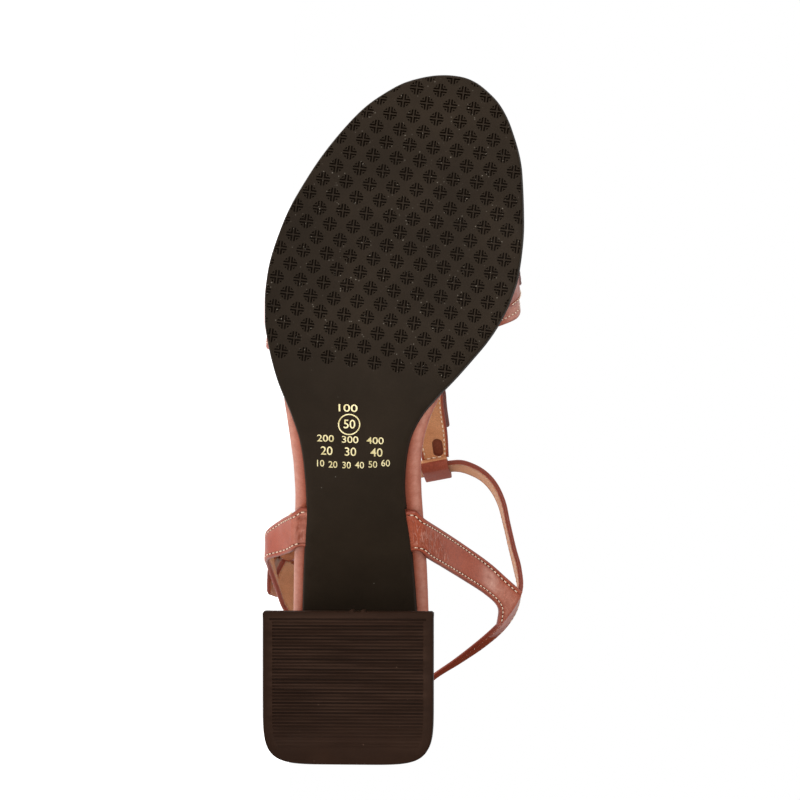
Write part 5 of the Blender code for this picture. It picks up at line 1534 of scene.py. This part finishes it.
def build_buckle(quarter):
    mid, along, out, up = buckle_frame()
    at = lambda a, o: mid + along * a + out * o
    front_bar = (1.0 - BUCKLE_LONG / 2, STRAP_T / 2 + GAP + WIRE_R + 0.1)
    rear_bar = (BUCKLE_LONG / 2, -(STRAP_T / 2 + GAP + LOOP_WALL + LOOP_PLAY + WIRE_R + 0.1))
    front, rear = at(*front_bar), at(*rear_bar)
    slope = unit(rear - front)
    face = np.cross(slope, up) if np.dot(np.cross(slope, up), out) > 0 else np.cross(up, slope)
    wire = rod(rounded_frame((front + rear) / 2, slope, up, np.linalg.norm(rear - front), BUCKLE_TALL, 2.6), WIRE_R, closed=True)
    rest = front_bar[1] + WIRE_R + PRONG_R - 0.15
    line = [rear_bar, (4.5, -2.9), (3.1, -1.3), (1.7, 0.5), (0.0, 1.9), (-2.8, 3.1), (front_bar[0], rest), (front_bar[0] - 1.2, rest - 0.2)]
    line = spline(line, np.linspace(0, len(line) - 1, 44))
    taper = np.ones(len(line))
    taper[-6:] = (0.98, 0.95, 0.9, 0.8, 0.62, 0.3)
    prong = rod([at(a, o) for a, o in line], PRONG_R, taper=taper)
    eye = [rear + (slope * math.cos(a) + face * math.sin(a)) * (WIRE_R + 0.42) for a in np.linspace(0, 2 * math.pi, 25)[:-1]]
    curl = rod(eye, 0.5, sides=10, closed=True)
    frame_obj = make_object("buckle_wire_and_prong", *join_meshes([wire, prong, curl]), ["buckle_metal"], sharp=60.0, slot="buckle_metal")
    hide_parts("buckle")
    hole = 2 * (WIRE_R + 0.03)
    loops = [tube_band(rear + up * sign * 3.0, up, slope, face, hole + 0.02, hole, LOOP_WALL + LOOP_PLAY + 0.75, 3.2) for sign in (-1, 1)]
    points, faces = join_meshes(loops)
    # painted shade: the loops' ends take the darker copy of the lining
    ends = [1 if abs(unit(np.cross(points[f[1]] - points[f[0]], points[f[2]] - points[f[0]])) @ up) > 0.5 else 0 for f in faces]
    tabs = make_object("buckle_tab_loops", points, faces, ["strap_leather", "tab_lining_shaded"], ends, sharp=50.0, slot="strap_leather")
    # punched holes: the one in use, and spare ones along the strap
    punch = rod([at(a, o) for a, o in line if -2.6 < o < 2.2], PRONG_R + GAP + 0.1, sides=24)
    cut(quarter, make_object("punch_used", *punch, ["strap_leather"]))
    low, high = ring_edges()
    centre = (low + high) / 2
    a = RING["place"].index("buckle")
    run = np.linspace(a - 4, len(centre) - 1, 500)
    track = spline(centre, run)
    dist = np.concatenate([[0], np.cumsum(np.linalg.norm(np.diff(track, axis=0), axis=1))])
    zero = dist[np.argmin(np.linalg.norm(track - at(1.7, 0.0), axis=1))]
    spots = []
    for step in (-22.5, -15.0, 7.5, 15.0):
        w = np.interp(zero + step, dist, run)
        c = spline(centre, np.array([w - 0.02, w, w + 0.02]))
        u = spline(high, np.array([w]))[0] - spline(low, np.array([w]))[0]
        n = unit(np.cross(c[2] - c[0], u))
        spots.append((c[1], n if n[1] < 0 or step < -12 else -n))
    for k, (c, n) in enumerate(spots):
        cut(quarter, make_object(f"punch_{k}", *rod([c - n * 2.4, c, c + n * 2.4], 1.0, sides=24), ["strap_leather"]))
    return frame_obj, tabs


def tbar_spine():
    """Left edge, centre and right edge along the T-bar, from the vamp to its end."""
    parts = np.array([0.0, 0.5, 1.0])
    lines, lead = vamp_lines(np.array([0.0, 1.0]))
    rear = lines[1]
    ends = spline(rear, lead + np.array([TBAR_JOIN[0], sum(TBAR_JOIN) / 2, TBAR_JOIN[1]]))
    made = tbar_lines(list(ends), parts)
    where = np.linspace(0, len(TBAR["x"]), 240)
    left, mid, right = (spline(l, where) for l in made)
    return left, mid, right


SLOT_AT = (-16.9, 8.3)
SLOT_SIZE = (7.5, 3.7)
SLOT_DEEP = 0.9


def cut_slot(vamp):
    """Oval slot through the T-bar's lining, down to the leather behind it; its walls and floor are a darker copy of the
    strap leather, painted shade.
    """
    left, mid, right = tbar_spine()
    i = int(np.argmin(np.abs(mid[:, 0] - SLOT_AT[0])))
    across = unit(right[i] - left[i])
    along = unit(mid[i + 1] - mid[i - 1])
    normal = np.cross(along, across)
    normal = normal if normal[2] > 0 else -normal
    centre = left[i] + (right[i] - left[i]) * (SLOT_AT[1] - left[i][1]) / (right[i][1] - left[i][1])
    points, faces = [], []
    r, flat = SLOT_SIZE[1] / 2, (SLOT_SIZE[0] - SLOT_SIZE[1]) / 2
    plan = [(math.copysign(flat, math.cos(a)) + r * math.cos(a), r * math.sin(a)) for a in (np.arange(48) + 0.5) * 2 * math.pi / 48]
    n = len(plan)
    for level in (-STRAP_T / 2 - 1.0, -STRAP_T / 2 + SLOT_DEEP):
        points += [centre + along * u + across * v + normal * level for u, v in plan]
    faces = [(k, (k + 1) % n, n + (k + 1) % n, n + k) for k in range(n)] + [tuple(range(n))[::-1], tuple(range(n, 2 * n))]
    vamp.data.materials.append(MATERIAL["slot_leather"])
    # painted shade: the slot's walls and floor are marked fold, most towards its opening
    tool = make_object("slot_tool", np.array(points), faces, ["strap_leather", "lining_leather", "slot_leather"], [2] * len(faces), numbers={"fold": np.repeat((1.0, 0.2), n)})
    return cut(vamp, tool)


def tbar_end_seam():
    """Row of stitches across the T-bar's lining, just over the loop."""
    left, mid, right = tbar_spine()
    i = int(np.argmin(np.abs(mid[:, 0] + 20.3)))
    across, along = unit(right[i] - left[i]), unit(mid[i + 1] - mid[i - 1])
    normal = np.cross(along, across)
    normal = normal if normal[2] < 0 else -normal
    path = np.array([left[i] + (right[i] - left[i]) * k for k in np.linspace(0.15, 0.85, 20)]) + normal * (STRAP_T / 2 - 0.05)
    return path, np.tile(normal, (20, 1))


def build_vamp_bands():
    """Two thin layers along the vamp's front: a leather one, and a narrower dark one on it."""
    made, seams = [], []
    for name, material, ends, lift, thick, rows in (("vamp_front_band", "strap_leather", (0.03, 0.64), 0.0, 0.65, (-1.6, 11.6)), ("vamp_dark_band", "overlay_leather", (0.06, 0.42), 0.6, 0.85, (1.7, 8.95))):
        wide = 18.0 * (ends[1] - ends[0])
        parts = ends[0] + (ends[1] - ends[0]) * columns_across(wide, 1.2)
        lines, lead = vamp_lines(parts)
        where = evenly(lines[len(lines) // 2], lead + rows[0], lead + rows[1], 1.3)
        grid = np.stack([spline(l, where) for l in lines], 1)
        normal = unit(np.cross(np.gradient(grid, axis=0), np.gradient(grid, axis=1)))
        away = grid - np.array((40.0, 0.0, 12.0)) * np.array((0.0, 1.0, 1.0)) - grid * np.array((1.0, 0.0, 0.0))
        normal *= np.where(np.sum(normal * away, -1, keepdims=True) < 0, -1.0, 1.0)
        width = np.concatenate([np.zeros((len(grid), 1)), np.cumsum(np.linalg.norm(np.diff(grid, axis=1), axis=2), axis=1)], axis=1)
        d = np.minimum(width, width[:, -1:] - width)
        full = 0.25 + 0.75 * ease(np.array(where), lead + 0.3, lead + 2.2)
        h = thick * np.sqrt(np.clip(1 - (1 - np.clip(d / 0.7, 0, 1)) ** 2, 0, 1)) - 0.12 * bell(d, 1.45, 0.3)
        h = h * full[:, None]
        base = grid + normal * (STRAP_T / 2 - 0.3 + lift * full)[:, None, None]
        top = base + normal * (0.3 + h)[..., None]
        n, m = grid.shape[:2]
        points = np.vstack([top.reshape(-1, 3), base.reshape(-1, 3)])
        faces = []
        for i in range(n - 1):
            for j in range(m - 1):
                q = (i * m + j, (i + 1) * m + j, (i + 1) * m + j + 1, i * m + j + 1)
                faces += [q, tuple(n * m + k for k in reversed(q))]
        rim = [(i, 0) for i in range(n)] + [(n - 1, j) for j in range(1, m)] + [(i, m - 1) for i in range(n - 2, -1, -1)] + [(0, j) for j in range(m - 2, 0, -1)]
        for (i, j), (k, l) in zip(rim, rim[1:] + rim[:1]):
            a, b = i * m + j, k * m + l
            faces.append((a, b, n * m + b, n * m + a))
        edge = np.clip(1 - d.ravel() / 0.9, 0, 1)
        # painted shade along the seam groove
        fold = 0.5 * bell(d.ravel(), 1.45, 0.26)
        made.append(make_object(name, points, faces, [material], sharp=60.0, numbers={"edge": np.concatenate([edge, edge]) * 0.9, "fold": np.concatenate([fold, fold])}, slot="strap_leather"))
        for side in (0, 1):
            j = int(np.argmin(np.abs((width[n // 2] if side == 0 else width[n // 2, -1] - width[n // 2]) - 1.45)))
            seams.append((top[3:-3, j], normal[3:-3, j]))
    return made, seams


def build_overlay():
    """Dark leather facing laid on the T-bar, a little wider than it, with a squared lower end."""
    left, mid, right = tbar_spine()
    keep = (mid[:, 0] < 15.5) & (mid[:, 0] > -10.6)
    left, mid, right = left[keep], mid[keep], right[keep]
    run = np.concatenate([[0], np.cumsum(np.linalg.norm(np.diff(mid, axis=0), axis=1))])
    total = run[-1]
    rows = np.concatenate([[0, 0.05, 0.15, 0.35, 0.65], np.linspace(1.0, total - 1.0, 40), [total - 0.65, total - 0.35, total - 0.15, total - 0.05, total]])
    pick = lambda a: np.stack([np.interp(rows, run, a[:, c]) for c in range(3)], 1)
    left, mid, right = pick(left), pick(mid), pick(right)
    across = unit(right - left)
    along = unit(np.gradient(mid, axis=0))
    normal = np.cross(along, across)
    normal *= np.sign(normal[:, 2:3])
    half = np.minimum(np.linalg.norm(right - left, axis=1) / 2, 7.2) + 1.0
    parts = np.concatenate([[-1, -0.995, -0.98, -0.95, -0.91], np.linspace(-0.86, 0.86, 21), [0.91, 0.95, 0.98, 0.995, 1]])
    thick = 1.25
    lift = STRAP_T / 2 + 0.1
    n, m = len(rows), len(parts)
    top, low = [], []
    dist = np.zeros((n, m))
    for i in range(n):
        wide = half[i] * (1 - 0.10 * max(0.0, 1 - min(rows[i], total - rows[i]) / 1.2) ** 2)
        for j, p in enumerate(parts):
            d = min(rows[i], total - rows[i], wide * (1 - abs(p)))
            dist[i, j] = d
            h = thick * math.sqrt(max(0.0, 1 - (1 - min(d / 0.8, 1.0)) ** 2)) - 0.12 * math.exp(-((d - 1.6) / 0.4) ** 2)
            curl = -0.02 * (p * wide / 4) ** 2
            base = mid[i] + across[i] * p * wide + normal[i] * (lift + curl)
            top.append(base + normal[i] * max(h, 0.02))
            low.append(base)
    points = np.vstack([top, low])
    faces = []
    for i in range(n - 1):
        for j in range(m - 1):
            q = (i * m + j, (i + 1) * m + j, (i + 1) * m + j + 1, i * m + j + 1)
            faces.append(q)
            faces.append(tuple(n * m + k for k in reversed(q)))
    rim = [(i, 0) for i in range(n)] + [(n - 1, j) for j in range(1, m)] + [(i, m - 1) for i in range(n - 2, -1, -1)] + [(0, j) for j in range(m - 2, 0, -1)]
    for (i, j), (k, l) in zip(rim, rim[1:] + rim[:1]):
        a, b = i * m + j, k * m + l
        faces.append((a, b, n * m + b, n * m + a))
    edge = np.clip(1 - dist.ravel() / 1.0, 0, 1)
    obj = make_object("tbar_overlay", points, faces, ["overlay_leather"], sharp=60.0, numbers={"edge": np.concatenate([edge, edge]) * 0.8}, slot="strap_leather")
    lines = []
    for sign in (-1, 1):
        inset = half - 1.6
        path = mid + across * (sign * inset)[:, None] + normal * (lift + thick - 0.14 - 0.02 * (inset / 4) ** 2)[:, None]
        lines.append((path[6:-6], normal[6:-6]))
    return obj, lines


def build_stamp():
    """Plain gold foil numbers on the waist."""
    tilt = math.tan(math.radians(4.0))

    def at_pixel(px, py):
        x = (400 - py) / 2.95
        for _ in range(4):
            z = float(under(x))
            s = 2.97 * 1100 / (1100 + z)
            x = (400 - py) / s
        return x, (px - 400) / s - z * tilt

    parts = []

    def lay(flat, faces, thick=0.05):
        """A flat outline mesh in picture pixels, as a thin solid on the rubber."""
        xy = np.array([at_pixel(px, py) for px, py in flat])
        z = under(xy[:, 0]) + crown(xy)
        low = np.column_stack([xy, z - thick])
        high = np.column_stack([xy, z + 0.05])
        n = len(xy)
        made = [tuple(f) for f in faces] + [tuple(i + n for i in reversed(f)) for f in faces]
        count = {}
        for f in faces:
            for a, b in zip(f, tuple(f[1:]) + (f[0],)):
                count[(a, b)] = count.get((a, b), 0) + 1
        for a, b in count:
            if (b, a) not in count:
                made.append((b, a, a + n, b + n))
        parts.append((np.vstack([low, high]), made))

    def digits(text, px, py, tall, wide=1.0, turn=0.035):
        curve = bpy.data.curves.new("digits", "FONT")
        curve.body = text
        curve.size = tall / 0.69
        curve.align_x, curve.align_y = "CENTER", "CENTER"
        curve.resolution_u = 5
        curve.offset = 0.006 * curve.size
        obj = bpy.data.objects.new("digits", curve)
        bpy.context.scene.collection.objects.link(obj)
        bpy.context.view_layer.update()
        graph = bpy.context.evaluated_depsgraph_get()
        mesh = bpy.data.meshes.new_from_object(obj.evaluated_get(graph))
        flat = [(px + wide * v.co.x, py - v.co.y + turn * wide * v.co.x) for v in mesh.vertices]
        faces = [tuple(p.vertices) for p in mesh.polygons]
        bpy.data.objects.remove(obj)
        bpy.data.meshes.remove(mesh)
        if faces:
            lay(flat, faces)

    def hoop(px, py, outer, inner, steps=72):
        a = np.linspace(0, 2 * math.pi, steps + 1)[:-1]
        flat = [(px + r * math.cos(t), py + 0.95 * r * math.sin(t)) for r in (outer, inner) for t in a]
        lay(flat, [(i, (i + 1) % steps, steps + (i + 1) % steps, steps + i) for i in range(steps)])

    hoop(349.0, 424.5, 11.2, 10.0)
    digits("50", 349.2, 424.6, 8.6)
    digits("100", 346.6, 408.4, 7.2, 1.42)
    for text, px, py in (("200", 325.2, 438.7), ("300", 349.8, 440.0), ("400", 375.2, 441.0)):
        digits(text, px, py, 6.6, 1.22)
    for text, px, py in (("20", 326.4, 451.2), ("30", 350.2, 452.2), ("40", 376.6, 452.9)):
        digits(text, px, py, 8.2, 1.05)
    for text, px in (("10", 319.6), ("20", 332.8), ("30", 346.4), ("40", 359.6), ("50", 372.8), ("60", 385.6)):
        digits(text, px, 463.0 + 2.6 * (1 - ((px - 352.0) / 37.0) ** 2), 6.4)
    points, faces = join_meshes(parts)
    return make_object("foil_numbers", points, faces, ["gold_foil"], sharp=40.0, slot="outsole_rubber")


# ---------------------------------------------------------------- putting it together
def assemble():
    pieces = [build_outsole(), build_footbed(), build_heel(), *build_toplift()]
    sock, sock_line = build_sock()
    quarter, vamp, seams, vamp_seams = build_upper()
    pieces += [sock, quarter, vamp, build_loop()]
    cut_slot(vamp)
    pieces += list(build_buckle(quarter))
    bands, band_lines = build_vamp_bands()
    pieces += bands
    overlay, overlay_lines = build_overlay()
    pieces += [overlay, build_stamp()]
    pieces.append(stitch_mesh("quarter_stitches", seams["out"], "thread_cream", slot="strap_leather"))
    pieces.append(needle_hole_shade("quarter_needle_hole_shade", seams["out"], "needle_dark", slot="strap_leather"))
    pieces.append(stitch_mesh("quarter_lining_stitches", seams["in"], "thread_tan", slot="strap_leather"))
    pieces.append(stitch_mesh("vamp_stitches", vamp_seams["out"] + vamp_seams["in"] + [tbar_end_seam()], "thread_cream", slot="strap_leather"))
    pieces.append(stitch_mesh("overlay_stitches", overlay_lines + band_lines, "thread_cream", slot="strap_leather"))
    pieces.append(stitch_mesh("sock_stitches", [sock_line], "thread_cream", slot="footbed_leather"))
    for piece in pieces:
        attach(piece, "root")


def build_stage():
    """Pale floor, a bright room round it that is dim behind the camera, soft lights and the camera."""
    tree, shader = start_material("stage_paper")
    where = node(tree, "ShaderNodeTexCoord").outputs["Object"]
    cloud = node(tree, "ShaderNodeTexNoise", {"Vector": where, "Scale": 3.0, "Detail": 2.0}).outputs["Fac"]
    tree.links.new(ramp(tree, cloud, ((0.3, grey(0.93)), (0.7, grey(0.95)))), shader.inputs["Base Color"])
    shader.inputs["Roughness"].default_value = 0.9
    shader.inputs["Specular IOR Level"].default_value = 0.1
    shader.inputs["Emission Color"].default_value = (1.0, 1.0, 1.0, 1.0)
    shader.inputs["Emission Strength"].default_value = 0.9
    verts = [(-4.0, -4.0, -0.0002), (4.0, -4.0, -0.0002), (4.0, 4.0, -0.0002), (-4.0, 4.0, -0.0002)]
    faces = [(0, 1, 2, 3)]
    mesh = bpy.data.meshes.new("stage_floor")
    mesh.from_pydata(verts, [], faces)
    mesh.materials.append(MATERIAL["stage_paper"])
    mesh.shade_smooth()
    floor = bpy.data.objects.new("stage_floor", mesh)
    bpy.context.scene.collection.objects.link(floor)
    floor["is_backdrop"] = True

    world = bpy.data.worlds.new("studio")
    bpy.context.scene.world = world
    world.use_nodes = True
    tree = world.node_tree
    back = tree.nodes["Background"]
    toward = node(tree, "ShaderNodeSeparateXYZ", {"Vector": node(tree, "ShaderNodeTexCoord").outputs["Generated"]}).outputs["Y"]
    room = node(tree, "ShaderNodeMapRange", {"Value": toward, "From Min": -0.7, "From Max": 0.6, "To Min": 0.06, "To Max": 0.95}).outputs["Result"]
    path = node(tree, "ShaderNodeLightPath").outputs["Is Camera Ray"]
    tree.links.new(maths(tree, "MAXIMUM", room, path), back.inputs["Strength"])
    back.inputs["Color"].default_value = (1.0, 1.0, 1.0, 1.0)

    def lamp(name, at, aim, size, power, colour=(1.0, 1.0, 1.0)):
        data = bpy.data.lights.new(name, "AREA")
        data.shape = "RECTANGLE"
        data.size, data.size_y = size
        data.energy = power
        data.color = colour
        obj = bpy.data.objects.new(name, data)
        bpy.context.scene.collection.objects.link(obj)
        obj.location = at
        obj.rotation_mode = "QUATERNION"
        obj.rotation_quaternion = (Vector(aim) - Vector(at)).to_track_quat("-Z", "Y")

    lamp("soft_top", (-0.1, -0.1, 1.3), (0.0, 0.0, 0.03), (1.2, 1.0), 4.0)
    lamp("soft_toe_side", (-1.5, -0.7, 0.4), (0.0, 0.0, 0.05), (0.9, 0.7), 5.0)
    lamp("soft_front", (-0.2, -1.9, 0.35), (0.0, 0.0, 0.02), (1.4, 0.6), 20.0)

    eye, aim = place([(0.0, 76.9, -1100.0)])[0], place([(0.0, 0.0, 0.0)])[0]
    ahead = Vector(aim - eye).normalized()
    toe = Vector(TURN[:, 0])
    right = ahead.cross(toe).normalized()
    up = right.cross(ahead)
    data = bpy.data.cameras.new("camera")
    data.sensor_width = 36.0
    data.lens = 2.97 * 36.0 / 800.0 * float(np.linalg.norm(aim - eye)) * 1000.0
    data.clip_start, data.clip_end = 0.02, 20.0
    camera = bpy.data.objects.new("camera", data)
    bpy.context.scene.collection.objects.link(camera)
    camera.matrix_world = Matrix((
        (right.x, up.x, -ahead.x, eye[0]),
        (right.y, up.y, -ahead.y, eye[1]),
        (right.z, up.z, -ahead.z, eye[2]),
        (0.0, 0.0, 0.0, 1.0),
    ))
    bpy.context.scene.camera = camera
    bpy.context.scene.view_settings.view_transform = "Standard"


assemble()
build_stage()
low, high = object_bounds()
{"cad": [list(CAD_LOW), list(CAD_HIGH)], "visual": [list(low), list(high)]}
